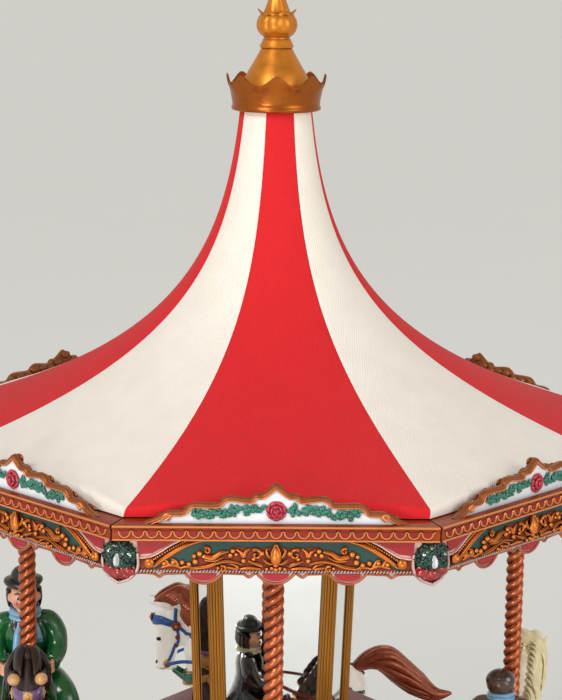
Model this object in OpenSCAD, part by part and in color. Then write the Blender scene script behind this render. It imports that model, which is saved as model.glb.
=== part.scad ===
// Carousel music box: a turning eight-sided canopy on a mirrored column, four horses with
// riders on rope-twist poles that rise and fall, and the drive hidden in the round base.
// Millimetres, +Z up, origin on the table under the centre, the front panel faces -Y.

/* [Canopy] */
// Width across the flat sides of the canopy rail
canopy_across = 280; // [276:1:284]
// Height of the rail's top face above the table
rail_z = 270; // [268:1:275]
// Height of the rail's front face
rail_height = 5.8; // [5:0.1:6.5]
// Depth of the rail from front to back
rail_depth = 10; // [9:0.5:10]
// Height of the whole roof from the rail to the crown
roof_height = 132; // [130:1:134]
// Radius that the roof's curve would have at the rail
roof_spread = 150.5; // [149:0.5:152]
// Thickness of the roof cloth
cloth_thick = 0.8; // [0.6:0.1:1]
// Thickness of the moulded shell under the cloth
shell_thick = 2; // [1.6:0.1:2.2]

/* [Ride] */
// Radius of the circle that the poles stand on
pole_circle = 103; // [102:0.5:104]
// Radius of a rope-twist pole
pole_r = 3.8; // [3.6:0.1:4]
// Radius of the turning deck
deck_r = 134; // [133:1:134]
// Crank throw, half of the ride's rise and fall
throw = 12; // [11:0.5:12]

/* [Column] */
// Distance of a column post from the axis plane, at mid height
post_far = 32.1; // [31:0.1:33]
// Half the spacing of the two posts of a wide mirror, at mid height
post_near = 23.4; // [22.5:0.1:24]
// Width of a column post, across its reeded face
post_w = 6.4; // [6:0.1:6.6]
// Thickness of a column post
post_t = 3.6; // [3.2:0.1:3.8]
// Lean of the column's sides, in degrees
column_lean = 1.8; // [1:0.1:2]

/* [Base] */
// Radius of the base at the table
base_r = 145; // [144:1:145]
// Wall of the base shell
base_wall = 3; // [2.5:0.1:3]

/* [Hidden] */
$fn = 64;
eps = 0.01;

// Heights of the base and the mechanism
foot_h = 4;
cover_top = 7;
plate_z = 29;
plate_top = 31;
crank_z = 48;
deck_z = 66;
deck_top = 70;
shell_top = 64;
base_wall_r = 139;
inner_r = base_wall_r - base_wall;

// Rail, frieze and crest of the canopy, as distances of a flat side from the axis
rail_out = canopy_across / 2;
rail_in = rail_out - rail_depth;
frieze_out = rail_out - 5;
frieze_in = frieze_out - 3.5;
crest_out = rail_out - 2.3;
crest_in = crest_out - 4;
tan22 = tan(22.5);
panel_gap = 0.3;

// Gear train: teeth and modules
crown_teeth = 48;
crank_teeth = 16;
bevel_mod = 1.5;
crown_r = crown_teeth * bevel_mod / 2;
crank_pitch_r = crank_teeth * bevel_mod / 2;
crown_pitch_z = crank_z - crank_pitch_r;
main_teeth = 60;
idler_small = 12;
main_mod = 1;
idler_teeth = 40;
motor_teeth = 10;
motor_mod = 0.8;
idler_dist = (main_teeth + idler_small) * main_mod / 2;
motor_dist = idler_dist + (idler_teeth + motor_teeth) * motor_mod / 2;
train_angle = 200;
main_gear_z = 23.5;
main_gear_h = 4;
idler_gear_z = 19;
idler_gear_h = 3.5;
shaft_r = 6;
fit = 0.05;

// Cranks: pin angle above the horizontal at rest for stations 1 to 4
crank_phase = [-75, -60, -120, 120];
pin_r = 1.5;
crank_disc_in = 90.5;
crank_disc_out = 93.5;
yoke_in = pole_circle - 5;
yoke_out = yoke_in + 3;
pin_end = yoke_in - 0.4;
yoke_half = 4;
pole_len = rail_z - 11.5 - (crank_z - throw);

function yoke_z(i) = crank_z + throw * sin(crank_phase[i - 1]);
// The horse's barrel centre stands this high above the yoke
horse_above_yoke = 116 - (crank_z - throw * sin(60));

// Column: post positions at a height
column_foot = 146;
ceiling_z = rail_z - 12;
ceiling_h = 3;
post_mid_z = rail_z - 57;
function lean(z) = (z - post_mid_z) * tan(column_lean);
function far(z) = post_far + lean(z);
function near(z) = post_near + lean(z);

// Roof: height above the rail for a radius, with the neck's radius and the fall length
neck_r = 11;
fall = 40;
fall_power = 1.08;
function roof_r(z) = neck_r + (roof_spread - neck_r) * exp(-pow(z / fall, fall_power));
function roof_z(r) = fall * pow(-ln((r - neck_r) / (roof_spread - neck_r)), 1 / fall_power);

COPPER = [0.72, 0.42, 0.25];
GOLD = [0.80, 0.60, 0.25];
MAROON = [0.42, 0.08, 0.12];
CREAM = [0.95, 0.93, 0.87];

// ---------- helpers ----------

// Straight eight-sided prism with flats facing the axes, apothem ap
module octo(ap, h) { rotate([0, 0, 22.5]) cylinder(r = ap / cos(22.5), h = h, $fn = 8); }

// Polar copy: station i of the four poles, x outwards and y forwards in the turning sense
module station(i) { rotate([0, 0, 90 * (i - 2)]) children(); }

// Panel i of eight, the panel faces -Y before it is turned
module panel(i) { rotate([0, 0, 45 * (i - 1)]) children(); }

// Round bar from p to q
module bar(p, q, r) {
    d = q - p;
    len = norm(d);
    translate(p) rotate([0, acos(d[2] / len), atan2(d[1], d[0])]) cylinder(r = r, h = len);
}

// Cylinder along +X
module xcyl(x0, x1, r) { translate([x0, 0, 0]) rotate([0, 90, 0]) cylinder(r = r, h = x1 - x0); }

// Tapered limb between two ball ends
limb_sides = 10;
barrel_sides = 14;
module limb(p, rp, q, rq) {
    hull() {
        translate(p) sphere(r = rp, $fn = limb_sides);
        translate(q) sphere(r = rq, $fn = limb_sides);
    }
}

// Involute outline: teeth n, module m, addendum a and dedendum d in modules, backlash b in mm
flank_steps = 3;
function inv(a) = tan(a) * 180 / PI - a;
function flank(rb, r, half) = let (a = r > rb ? acos(rb / r) : 0) [r, half - inv(a)];
function gear_tooth(n, m, a, d, b) =
    let (rp = n * m / 2, rb = rp * cos(20), ra = rp + a * m, rr = rp - d * m,
         half = 90 / n - b / 2 / rp * 180 / PI + inv(20),
         r0 = max(rb, rr),
         up = concat(rr < rb ? [[rr, half]] : [],
                     [for (k = [0:flank_steps]) flank(rb, r0 + (ra - r0) * k / flank_steps, half)]))
    concat([for (q = up) [q[0], -q[1]]], [for (k = [len(up) - 1:-1:0]) up[k]]);
module gear(n, m, h, a = 1, d = 1.25, b = 0.25) {
    tooth = gear_tooth(n, m, a, d, b);
    linear_extrude(h) polygon([for (k = [0:n - 1]) for (q = tooth)
        [q[0] * cos(q[1] + k * 360 / n), q[0] * sin(q[1] + k * 360 / n)]]);
}

// Place in the gear train, dist from the axis
module on_train(dist) {
    translate([dist * cos(train_angle), dist * sin(train_angle), 0]) children();
}

// ---------- base, fixed ----------

boss_r = 126;
dc_z = 20;
button_angle = 72;
knob_angle = 108;
screw_angles = [45, 135, 225, 315];
cove_r = 4.5;

module base_shell() color(MAROON) difference() {
    union() {
        rotate_extrude($fn = 128) polygon(concat(
            [[base_r - 3.4, foot_h], [base_r, foot_h], [base_r, 8], [base_r - 1.5, 9]],
            [for (a = [0:15:75]) [base_wall_r + cove_r - cove_r * sin(a), 13 - 4 * cos(a)]],
            [[base_wall_r, 13], [base_wall_r, 56],
             [base_wall_r + 2, 59], [base_wall_r + 2, 62], [base_wall_r, shell_top],
             [128, shell_top], [128, 61.5], [inner_r, 60], [inner_r, 13],
             [base_r - 3.4, 8]]));
        for (a = screw_angles) rotate([0, 0, a]) translate([boss_r, 0, cover_top])
            difference() {
                union() {
                    cylinder(r = 4.5, h = plate_z - cover_top);
                    translate([0, -1.5, 4]) cube([inner_r - boss_r + 1, 3, 16]);
                }
                translate([0, 0, -1]) cylinder(r = 1.5, h = 14);
            }
    }
    rotate([0, 0, 90]) translate([0, 0, dc_z]) xcyl(128, 150, 4.9);
    rotate([0, 0, button_angle]) translate([0, 0, dc_z]) xcyl(128, 150, 4.9);
    rotate([0, 0, knob_angle]) translate([0, 0, dc_z]) xcyl(128, 150, 3 + fit);
}

// Two turned mouldings glued to the base
module base_trim() color(COPPER) {
    rotate_extrude($fn = 128) translate([base_wall_r + 0.02, 50]) polygon(concat(
        [[0, 0]], [for (a = [-90:15:90]) [1 + 1.8 * cos(a), 2.2 + 2.2 * sin(a)]], [[0, 4.4]]));
    rotate_extrude($fn = 128) translate([base_wall_r + 0.02, 29]) polygon(concat(
        [[0, 0]], [for (a = [-90:15:90]) [0.6 + 1.4 * cos(a), 1.6 + 1.6 * sin(a)]], [[0, 3.2]]));
}

grille_r = 85;
grille_angle = 320;
module base_cover() color("dimgray") difference() {
    translate([0, 0, foot_h + 0.3]) cylinder(r = base_r - 3.6, h = cover_top - foot_h - 0.35);
    for (a = screw_angles) rotate([0, 0, a]) translate([boss_r, 0, 0]) {
        cylinder(r = 1.7, h = 10);
        cylinder(r = 3.4, h = foot_h + 1.6);
    }
    rotate([0, 0, grille_angle]) translate([grille_r, 0, 0])
        for (k = [0:2]) for (j = [0:max(0, 6 * k - 1)])
            rotate([0, 0, k == 0 ? 0 : j * 60 / k]) translate([7 * k, 0, 0])
                cylinder(r = 2, h = 10, $fn = 24);
}

foot_circle = 112;
module feet() color([0.1, 0.1, 0.1]) for (a = [0:90:270]) rotate([0, 0, a])
    translate([foot_circle, 0, 0]) rotate_extrude() polygon(
        [[0, 0], [8, 0], [9, 1], [9, foot_h + 0.25], [0, foot_h + 0.25]]);

module cover_screws() color("silver") for (a = screw_angles) rotate([0, 0, a])
    translate([boss_r, 0, 0]) difference() {
        union() {
            translate([0, 0, foot_h]) cylinder(r = 3, h = 1.55);
            translate([0, 0, foot_h]) cylinder(r = 1.45, h = 14);
        }
        translate([-1.8, -0.35, foot_h - 1]) cube([3.6, 0.7, 1.8]);
        translate([-0.35, -1.8, foot_h - 1]) cube([0.7, 3.6, 1.8]);
    }

tower_r = 14;
bearing_r = 9;
tower_top = 50;
module mechanism_plate() color("gainsboro") difference() {
    union() {
        translate([0, 0, plate_z]) cylinder(r = inner_r - 0.5, h = plate_top - plate_z);
        translate([0, 0, plate_z]) cylinder(r = tower_r, h = tower_top - plate_z);
    }
    translate([0, 0, plate_z - 1]) cylinder(r = bearing_r, h = 30);
    on_train(idler_dist) translate([0, 0, plate_z - 1]) cylinder(r = 1.5, h = 4);
}

// Bearing bush with a thrust flange for the hub shaft
module main_bearing() color([0.72, 0.55, 0.3]) difference() {
    union() {
        translate([0, 0, plate_z - 1]) cylinder(r = bearing_r, h = tower_top - plate_z + 1);
        translate([0, 0, tower_top]) cylinder(r = 13, h = 2);
    }
    cylinder(r = shaft_r + fit, h = 60);
}

// Face gear whose teeth point up, the cranks' pinions run round it
crown_tooth_half = 1.5 * PI / 4 - 0.12;
module fixed_crown_gear() color([0.9, 0.88, 0.8]) {
    tan20 = tan(20);
    top = bevel_mod;
    low = -1.25 * bevel_mod;
    translate([0, 0, plate_top]) difference() {
        cylinder(r = 40, h = crown_pitch_z + low - plate_top);
        translate([0, 0, -1]) cylinder(r = 31, h = 20);
    }
    for (k = [0:crown_teeth - 1]) rotate([0, 0, k * 360 / crown_teeth])
        translate([34, 0, crown_pitch_z]) rotate([90, 0, 90]) linear_extrude(4) polygon(
            [[-crown_tooth_half - (0.2 - low) * tan20, low - 0.2],
             [crown_tooth_half + (0.2 - low) * tan20, low - 0.2],
             [crown_tooth_half - top * tan20, top], [-crown_tooth_half + top * tan20, top]]);
}

motor_z = 8;
motor_h = 10;
module gear_motor() color("silver") on_train(motor_dist) {
    translate([0, 0, motor_z]) difference() {
        cylinder(r = 18, h = motor_h);
        translate([0, 0, motor_h - 4]) cylinder(r = 1 + fit, h = 5);
    }
    for (s = [-1, 1]) rotate([0, 0, train_angle + 60 * s]) translate([14.5, 0, motor_z])
        cylinder(r = 2, h = plate_z - motor_z);
}

module speaker() color([0.15, 0.15, 0.16]) rotate([0, 0, grille_angle])
    translate([grille_r, 0, 0]) rotate_extrude() polygon(
        [[19, cover_top], [25, cover_top], [25, 9], [13, 15], [13, 17], [15, 17], [15, 24],
         [0, 24], [0, 15], [8, 15], [19, 8.6]]);

// Circuit board, its parts, and the switch and the volume pot behind the wall
module sound_board() color([0.1, 0.4, 0.2]) {
    translate([-32, 78, 11]) cube([64, 42, 1.6]);
    translate([-20, 88, 12.6]) cube([14, 14, 2]);
    translate([4, 84, 12.6]) cube([8, 6, 6]);
    for (x = [18, 26]) translate([x, 92, 12.6]) cylinder(r = 3, h = 9);
    rotate([0, 0, button_angle]) translate([116, -4, 11]) cube([10, 8, 13]);
    rotate([0, 0, knob_angle]) translate([0, 0, dc_z]) difference() {
        translate([116, -6, -9]) cube([15, 12, 15]);
        xcyl(120, 140, 3 + fit);
    }
}

module dc_socket() color([0.12, 0.12, 0.12]) rotate([0, 0, 90]) translate([0, 0, dc_z])
    difference() {
        union() {
            xcyl(124, base_wall_r + 0.6, 4.9);
            translate([121, -5.5, -6]) cube([12, 11, 11.5]);
        }
        xcyl(base_wall_r + 0.6 - 9.5, 160, 2.8);
    }

module idler_shaft() color("silver") on_train(idler_dist)
    translate([0, 0, 14]) cylinder(r = 1.5, h = plate_top - 14);

// ---------- controls and drive that move ----------

module music_button() color([0.75, 0.1, 0.12]) rotate([0, 0, button_angle])
    translate([0, 0, dc_z]) {
        xcyl(131, 141.4, 4.5);
        xcyl(129, 132, 5.6);
        xcyl(126.2 + 1.6, 131, 1.5);
    }

knob_r = 6;
module volume_knob() color([0.1, 0.1, 0.1]) rotate([0, 0, knob_angle])
    translate([0, 0, dc_z]) difference() {
        union() {
            xcyl(base_wall_r + 0.4, 146, knob_r - 0.6);
            for (k = [0:11]) rotate([30 * k, 0, 0]) translate([base_wall_r + 0.4, 0, knob_r - 0.9])
                rotate([0, 90, 0]) cylinder(r = 0.9, h = 6.6, $fn = 16);
            xcyl(120.3, 142, 3);
        }
        translate([145.2, -0.5, 2]) cube([2, 1, 4]);
    }

module motor_pinion() color([0.75, 0.6, 0.3]) on_train(motor_dist) {
    translate([0, 0, idler_gear_z]) rotate([0, 0, train_angle - 180 + 180 / motor_teeth])
        gear(motor_teeth, motor_mod, idler_gear_h, d = 1.15, b = 0.2);
    translate([0, 0, motor_z + motor_h - 3.5]) cylinder(r = 1, h = 8.5);
}

module idler_gear() color([0.95, 0.95, 0.9]) on_train(idler_dist) difference() {
    union() {
        translate([0, 0, idler_gear_z]) rotate([0, 0, train_angle])
            gear(idler_teeth, motor_mod, idler_gear_h, a = 0.85, b = 0.2);
        translate([0, 0, idler_gear_z + 1]) rotate([0, 0, train_angle - 180 + 180 / idler_small])
            gear(idler_small, main_mod, main_gear_z + main_gear_h - idler_gear_z - 1, d = 1.15);
    }
    translate([0, 0, idler_gear_z - 1]) cylinder(r = 1.5 + fit, h = 20);
}

// ---------- turning frame ----------

module hub_shaft() color("silver") difference() {
    union() {
        translate([0, 0, 16]) cylinder(r = shaft_r, h = deck_z - 16);
        translate([0, 0, 52.1]) cylinder(r = 13, h = 3);
        translate([0, 0, 62]) cylinder(r = 22, h = deck_z - 62);
    }
    cylinder(r = 3, h = 80);
}

module main_gear() color([0.95, 0.95, 0.9]) translate([0, 0, main_gear_z]) difference() {
    rotate([0, 0, train_angle]) gear(main_teeth, main_mod, main_gear_h, a = 0.85);
    translate([0, 0, -1]) cylinder(r = shaft_r + 0.02, h = 20);
}

module deck() color([0.55, 0.33, 0.2]) difference() {
    translate([0, 0, deck_z]) cylinder(r = deck_r, h = deck_top - deck_z, $fn = 128);
    cylinder(r = 3, h = 100);
    for (i = [1:4]) station(i) translate([pole_circle, 0, 0]) cylinder(r = 6, h = 100);
}

// Moulded ring round the deck's edge, with a bead and a lip
module deck_rim() color(COPPER) rotate_extrude($fn = 128) polygon(concat(
    [[deck_r + 0.02, 65], [deck_r + 3, 65], [deck_r + 3.6, 66]],
    [for (a = [-60:15:60]) [deck_r + 2.6 + 2 * cos(a), 69 + 2.4 * sin(a)]],
    [[deck_r + 2.6, 72], [deck_r + 2, 73], [deck_r + 0.6, 73], [deck_r + 0.02, 72]]));

drum_ap = 56;
drum_top = 133;
arch_r = 13;
// Eight-sided centre drum with corner pilasters and an arched panel on each side
module hub_drum() color(CREAM) {
    difference() {
        union() {
            translate([0, 0, deck_top]) octo(drum_ap, drum_top - deck_top);
            translate([0, 0, deck_top]) octo(drum_ap + 3, 6);
            translate([0, 0, drum_top - 5]) octo(drum_ap + 2, 5);
            for (i = [0:7]) rotate([0, 0, 45 * i + 22.5])
                translate([drum_ap / cos(22.5) - 0.4, 0, deck_top + 1])
                cylinder(r = 2.4, h = drum_top - deck_top - 2);
        }
        translate([0, 0, deck_top - 1]) octo(drum_ap - 3, drum_top - deck_top - 2);
        cylinder(r = 10, h = 200);
        for (i = [1:8]) panel(i) translate([0, -drum_ap + 1.2, 0]) rotate([90, 0, 0])
            linear_extrude(10) polygon(concat(
                [[-arch_r, deck_top + 12], [arch_r, deck_top + 12]],
                [for (a = [0:15:180]) [arch_r * cos(a), deck_top + 38 + arch_r * sin(a)]]));
    }
}

skirt_top_r = 20;
skirt_r = 64;
skirt_slope = 29.4;
function skirt_z(r) = rail_z - 117.2 - (r - 33) * tan(skirt_slope);
// Shallow cone round the column's foot, with a turned-down rim
module hub_skirt() color(MAROON) difference() {
    rotate_extrude($fn = 96) polygon(
        [[skirt_top_r, skirt_z(skirt_top_r) - 1.6], [skirt_top_r, skirt_z(skirt_top_r)],
         [skirt_r, skirt_z(skirt_r)], [skirt_r + 1.5, skirt_z(skirt_r) - 1.5],
         [skirt_r + 1.5, skirt_z(skirt_r) - 7], [skirt_r, skirt_z(skirt_r) - 7],
         [skirt_r - 0.5, skirt_z(skirt_r) - 1.8]]);
    column_outline(post_t / 2 + 1.3, 130, 180);
}

// Chamfered square through the post centres, grown by g, from z0 to z1
module column_outline(g, z0, z1) {
    f = far((z0 + z1) / 2) + g;
    n = near((z0 + z1) / 2) + g;
    translate([0, 0, z0]) linear_extrude(z1 - z0)
        polygon([for (a = [0:90:270]) for (s = [-1, 1])
                 [f * cos(a) - s * n * sin(a), f * sin(a) + s * n * cos(a)]]);
}

module column_ring(z, g) {
    f = far(z) - g;
    n = near(z) - g * 0.7;
    translate([0, 0, z]) linear_extrude(eps)
        polygon([for (a = [0:90:270]) for (s = [-1, 1])
                 [f * cos(a) - s * n * sin(a), f * sin(a) + s * n * cos(a)]]);
}

// Flat round-edged strip at side s of the +X face, leaning out, grown by g
module post(s, z0, z1, g) {
    slant = atan(sqrt(2) * tan(column_lean));
    translate([far(z0), s * near(z0), z0]) rotate([0, 0, 45 * s]) rotate([0, slant, 0])
        rotate([0, 0, -45 * s]) linear_extrude((z1 - z0) / cos(slant)) {
            for (e = [-1, 1]) translate([0, e * (post_w - post_t) / 2]) circle(r = post_t / 2 + g);
            square([post_t + 2 * g, post_w - post_t], center = true);
        }
}

mirror_thick = 1.5;
mirror_back = 0.8 + mirror_thick;
module column_core() color([0.9, 0.88, 0.8]) difference() {
    hull() {
        column_ring(drum_top, mirror_back + 0.3);
        column_ring(ceiling_z - 0.1 - eps, mirror_back + 0.3);
    }
    translate([0, 0, drum_top - 1]) cylinder(r = 10, h = 200);
    for (a = [0:90:270]) for (s = [-1, 1]) rotate([0, 0, a])
        post(s, column_foot - 10, ceiling_z + 9, 0.1);
}

module column_posts() color(GOLD) for (a = [0:90:270]) for (s = [-1, 1]) rotate([0, 0, a])
    post(s, column_foot, ceiling_z - 0.5, 0);

mirror_foot = column_foot + 1;
mirror_len = (ceiling_z - 1 - mirror_foot) / cos(column_lean);
// Upright mirror strip, wb wide at the foot and wt at the head, leaning out by a
module mirror_strip(wb, wt, a) {
    rotate([90 + a, 0, 0]) linear_extrude(mirror_thick)
        polygon([[-wb / 2, 0], [wb / 2, 0], [wt / 2, mirror_len], [-wt / 2, mirror_len]]);
}

module wide_mirrors() color([0.85, 0.88, 0.9]) for (a = [0:90:270]) rotate([0, 0, a])
    translate([0, -far(mirror_foot) + mirror_back, mirror_foot])
        mirror_strip(2 * near(mirror_foot) - post_w - 0.6,
                     2 * near(ceiling_z) - post_w - 0.6, column_lean);

// A narrow mirror fills the gap between two posts along the chamfer
narrow_w = (post_far - post_near) * sqrt(2) - post_t - (post_w - post_t) / sqrt(2) - 0.6;
module narrow_mirrors() color([0.85, 0.88, 0.9]) for (a = [45:90:315]) rotate([0, 0, a])
    translate([0, -(far(mirror_foot) + near(mirror_foot)) / sqrt(2) + mirror_back + 0.5,
               mirror_foot])
        mirror_strip(narrow_w, narrow_w, atan(sqrt(2) * tan(column_lean)));

module ceiling() color(CREAM) difference() {
    translate([0, 0, ceiling_z]) octo(frieze_in - 0.2, ceiling_h);
    translate([0, 0, ceiling_z - 1]) cylinder(r = 8, h = 10);
    for (i = [1:4]) station(i) translate([pole_circle, 0, 0]) cylinder(r = 6, h = 400);
}

bush_bottom = deck_z - 1;
// Flanged bushes that guide the poles, one in the deck and one in the ceiling for each pole
module pole_bushes() color([0.72, 0.55, 0.3]) for (i = [1:4]) station(i)
    translate([pole_circle, 0, 0]) difference() {
        union() {
            translate([0, 0, bush_bottom]) cylinder(r = 5.98, h = deck_top - bush_bottom + 1.2);
            translate([0, 0, deck_top]) cylinder(r = 8, h = 1.2);
            translate([0, 0, ceiling_z - 4]) cylinder(r = 5.98, h = ceiling_h + 7);
            translate([0, 0, ceiling_z - 1.2]) cylinder(r = 8, h = 1.2);
        }
        cylinder(r = pole_r + fit, h = 400);
    }

crank_shaft_r = 3;
bracket_feet = [44, 82];
module crank_brackets() color("gainsboro") for (i = [1:4]) station(i) for (x = bracket_feet)
    difference() {
        union() {
            translate([x, -6, crank_z]) cube([4, 12, deck_z - crank_z]);
            translate([0, 0, crank_z]) xcyl(x, x + 4, 6);
            translate([x - 3, -9, deck_z - 2]) cube([10, 18, 2]);
        }
        translate([0, 0, crank_z]) xcyl(x - 1, x + 5, crank_shaft_r + fit);
    }

// ---------- cranks and poles ----------

pinion_in = crown_r - 1.5;
pinion_h = 3;
module crank(i) color([0.75, 0.75, 0.78]) station(i) translate([0, 0, crank_z]) {
    translate([pinion_in, 0, 0]) rotate([0, 90, 0])
        rotate([0, 0, 180 / crank_teeth])
        gear(crank_teeth, bevel_mod, pinion_h, a = 0.85, b = 0.3);
    xcyl(pinion_in - 1, crank_disc_in + 1, crank_shaft_r);
    xcyl(bracket_feet[0] - 3, bracket_feet[0] - 0.4, 5);
    xcyl(bracket_feet[1] + 4.4, bracket_feet[1] + 6, 5);
    difference() {
        xcyl(crank_disc_in, crank_disc_out, throw + 3);
        rotate([crank_phase[i - 1], 0, 0]) translate([0, -throw + 1, 0]) xcyl(88, 100, 5);
    }
    rotate([crank_phase[i - 1], 0, 0]) translate([0, throw, 0]) xcyl(crank_disc_out - 1, pin_end, pin_r);
}

slot_half = throw + pin_r + 0.8;
// Pole with a slotted yoke at its foot for the crank pin
module pole(i) color(COPPER) station(i) translate([0, 0, yoke_z(i)]) {
    translate([pole_circle, 0, 3]) cylinder(r = pole_r, h = pole_len - 3);
    translate([yoke_in, -4, 3]) cube([pole_circle - yoke_in, 8, 1.5]);
    difference() {
        translate([yoke_in, -slot_half - 2.5, -yoke_half])
            cube([yoke_out - yoke_in, 2 * slot_half + 5, 2 * yoke_half]);
        translate([yoke_in - 1, -slot_half, -pin_r - 0.35])
            cube([5, 2 * slot_half, 2 * pin_r + 0.7]);
    }
}

// ---------- horse and rider, x forwards, barrel centre at the origin ----------

HORSE_COLOURS = [[0.85, 0.8, 0.72], [0.9, 0.82, 0.68], [0.93, 0.91, 0.88], [0.25, 0.14, 0.1]];
RIDER_COLOURS = [[0.1, 0.1, 0.12], [0.45, 0.3, 0.2], [0.2, 0.3, 0.5], [0.1, 0.35, 0.15]];
rider_scale = [0.75, 0.79, 0.9, 1.02];
// The figures of stations 2 and 4 are set askew on their poles
figure_yaw = [0, -18, 0, 6];
// A smaller rider still straddles a full-width saddle
function rider_size(s) = [s, (1 + s) / 2, s];

module on_pole(i) {
    station(i) translate([pole_circle, 0, yoke_z(i) + horse_above_yoke])
        rotate([0, 0, 90 + figure_yaw[i - 1]]) children();
}

module pole_hole() { translate([0, 0, -60]) cylinder(r = pole_r + 0.12, h = 160, $fn = 32); }

module horse(i) color(HORSE_COLOURS[i - 1]) on_pole(i) difference() {
    union() {
        hull() {
            translate([-34, 0, 0]) scale([1, 0.88, 1]) sphere(r = 14, $fn = barrel_sides);
            translate([-6, 0, -1.5]) scale([1, 0.9, 1]) sphere(r = 13, $fn = barrel_sides);
            translate([20, 0, 0]) scale([1, 0.86, 1]) sphere(r = 14, $fn = barrel_sides);
        }
        limb([27, 0, 4], 13.5, [29, 0, 28], 9.5);
        limb([29, 0, 28], 9.5, [41, 0, 43], 6.8);
        limb([47, 0, 38.5], 7.6, [49, 0, 16], 5.8);
        for (s = [-1, 1]) {
            limb([21, 6 * s, -6], 6.5, [s > 0 ? 36 : 29, 6 * s, s > 0 ? -15 : -23], 4);
            limb([s > 0 ? 36 : 29, 6 * s, s > 0 ? -15 : -23], 4,
                 [s > 0 ? 32 : 18, 6 * s, s > 0 ? -32 : -35], 3.6);
            limb([-36, 6 * s, -5], 8.5, [s > 0 ? -47 : -38, 6 * s, -22], 4.2);
            limb([s > 0 ? -47 : -38, 6 * s, -22], 4.2, [s > 0 ? -55 : -44, 6 * s, -36], 3.7);
        }
        limb([-44, 0, 9], 5, [-58, 0, 16], 7);
        limb([-58, 0, 16], 7, [-72, 0, 9], 6.5);
        limb([-72, 0, 9], 6.5, [-83, 0, 2], 4.5);
    }
    pole_hole();
}

// Seated rider whose hands hold the reins
module rider(i) color(RIDER_COLOURS[i - 1]) on_pole(i) difference() {
    translate([0, 0, 13.5]) scale(rider_size(rider_scale[i - 1])) union() {
        limb([-14, 0, 7.5], 7, [-13, 0, 27], 8.2);
        for (s = [-1, 1]) {
            limb([-13, 9 * s, 28], 4.6, [-8, 12.4 * s, 18], 4.2);
            limb([-8, 12.4 * s, 18], 4.2, [1, 8.5 * s, 15.5], 3);
            limb([-12, 8 * s, 5], 5, [2, 16 * s, -3], 4.4);
            limb([2, 16 * s, -3], 4.4, [-3, 16.5 * s, -22], 3.4);
        }
        limb([-12, 0, 41], 7.4, [-12, 0, 45], 7);
        translate([-12, 0, 47]) cylinder(r = 8.4, h = 1.6, $fn = 24);
        translate([-12, 0, 48]) cylinder(r1 = 6.4, r2 = 5.6, h = 9, $fn = 24);
    }
    pole_hole();
    saddle_room();
}

// Room for the horse's barrel under the rider's seat
module saddle_room() {
    hull() {
        for (x = [-34, 20]) translate([x, 0, 0]) scale([1, 0.9, 1])
            sphere(r = 14.4, $fn = barrel_sides);
        translate([-34, -11, -28]) cube([54, 22, 2]);
    }
}

// ---------- canopy ----------

segs_per_side = 6;
rings = 13;
function edge_r(a, ap) = ap / cos(abs(a - 45 * round(a / 45)));
// One meridian of a roof layer: its top lies t0 below the roof's surface and its back t1 below
function slope_at(r) = (roof_z(r + 0.05) - roof_z(r - 0.05)) / 0.1;
function sunk(r, t) = let (s = slope_at(r), n = sqrt(1 + s * s)) [r + t * s / n, roof_z(r) - t / n];
function ring_r(k, ap, a) =
    let (r0 = roof_r(roof_height), r1 = edge_r(a, ap)) r0 * pow(r1 / r0, 1 - pow(1 - k / rings, 1.15));
function meridian(a, ap, t0, t1, hem) =
    concat([for (k = [0:rings]) sunk(ring_r(k, ap, a), t0)],
           [[edge_r(a, ap), hem], [edge_r(a, ap - t1 + t0), hem]],
           [for (k = [rings:-1:0]) sunk(ring_r(k, ap - t1 + t0, a), t1)]);

// Closed ring of meridians
module roof_layer(ap, t0, t1, hem) {
    n = 8 * segs_per_side;
    m = 2 * (rings + 1) + 2;
    rows = [for (j = [0:n - 1]) meridian(j * 360 / n, ap, t0, t1, hem)];
    polyhedron(
        points = [for (j = [0:n - 1]) for (p = rows[j])
                  [p[0] * cos(j * 360 / n), p[0] * sin(j * 360 / n), rail_z + p[1]]],
        faces = [for (j = [0:n - 1]) for (k = [0:m - 1]) for (h = [0, 1])
                 let (a = j * m + k, b = j * m + (k + 1) % m,
                      c = ((j + 1) % n) * m + (k + 1) % m, d = ((j + 1) % n) * m + k)
                 h == 0 ? [a, b, c] : [a, c, d]]);
}

cover_ap = rail_in + 0.7;
module roof_cover() color([0.9, 0.2, 0.2]) roof_layer(cover_ap, 0, cloth_thick, 0.4);
module roof_shell() color([0.85, 0.85, 0.82])
    roof_layer(cover_ap - cloth_thick - 0.1, cloth_thick + 0.1,
               cloth_thick + 0.1 + shell_thick, 0.6);

// Outline of the crest above the rail, right half
crest_steps = [[46, 0], [38, 2.4], [36.5, 4.2], [32.5, 4.6], [29.5, 7], [21.5, 7.4], [18.5, 9.4],
               [16, 9.9], [9, 9.2], [7, 10.8], [4.5, 11.2], [0, 14.4]];
// Lower edge of the frieze, right half: depth of the scallops below the frieze
frieze_low = 18.5;
scallops = [[0, 5.7], [25.5, 5.7], [-25.5, 5.7]];

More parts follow.
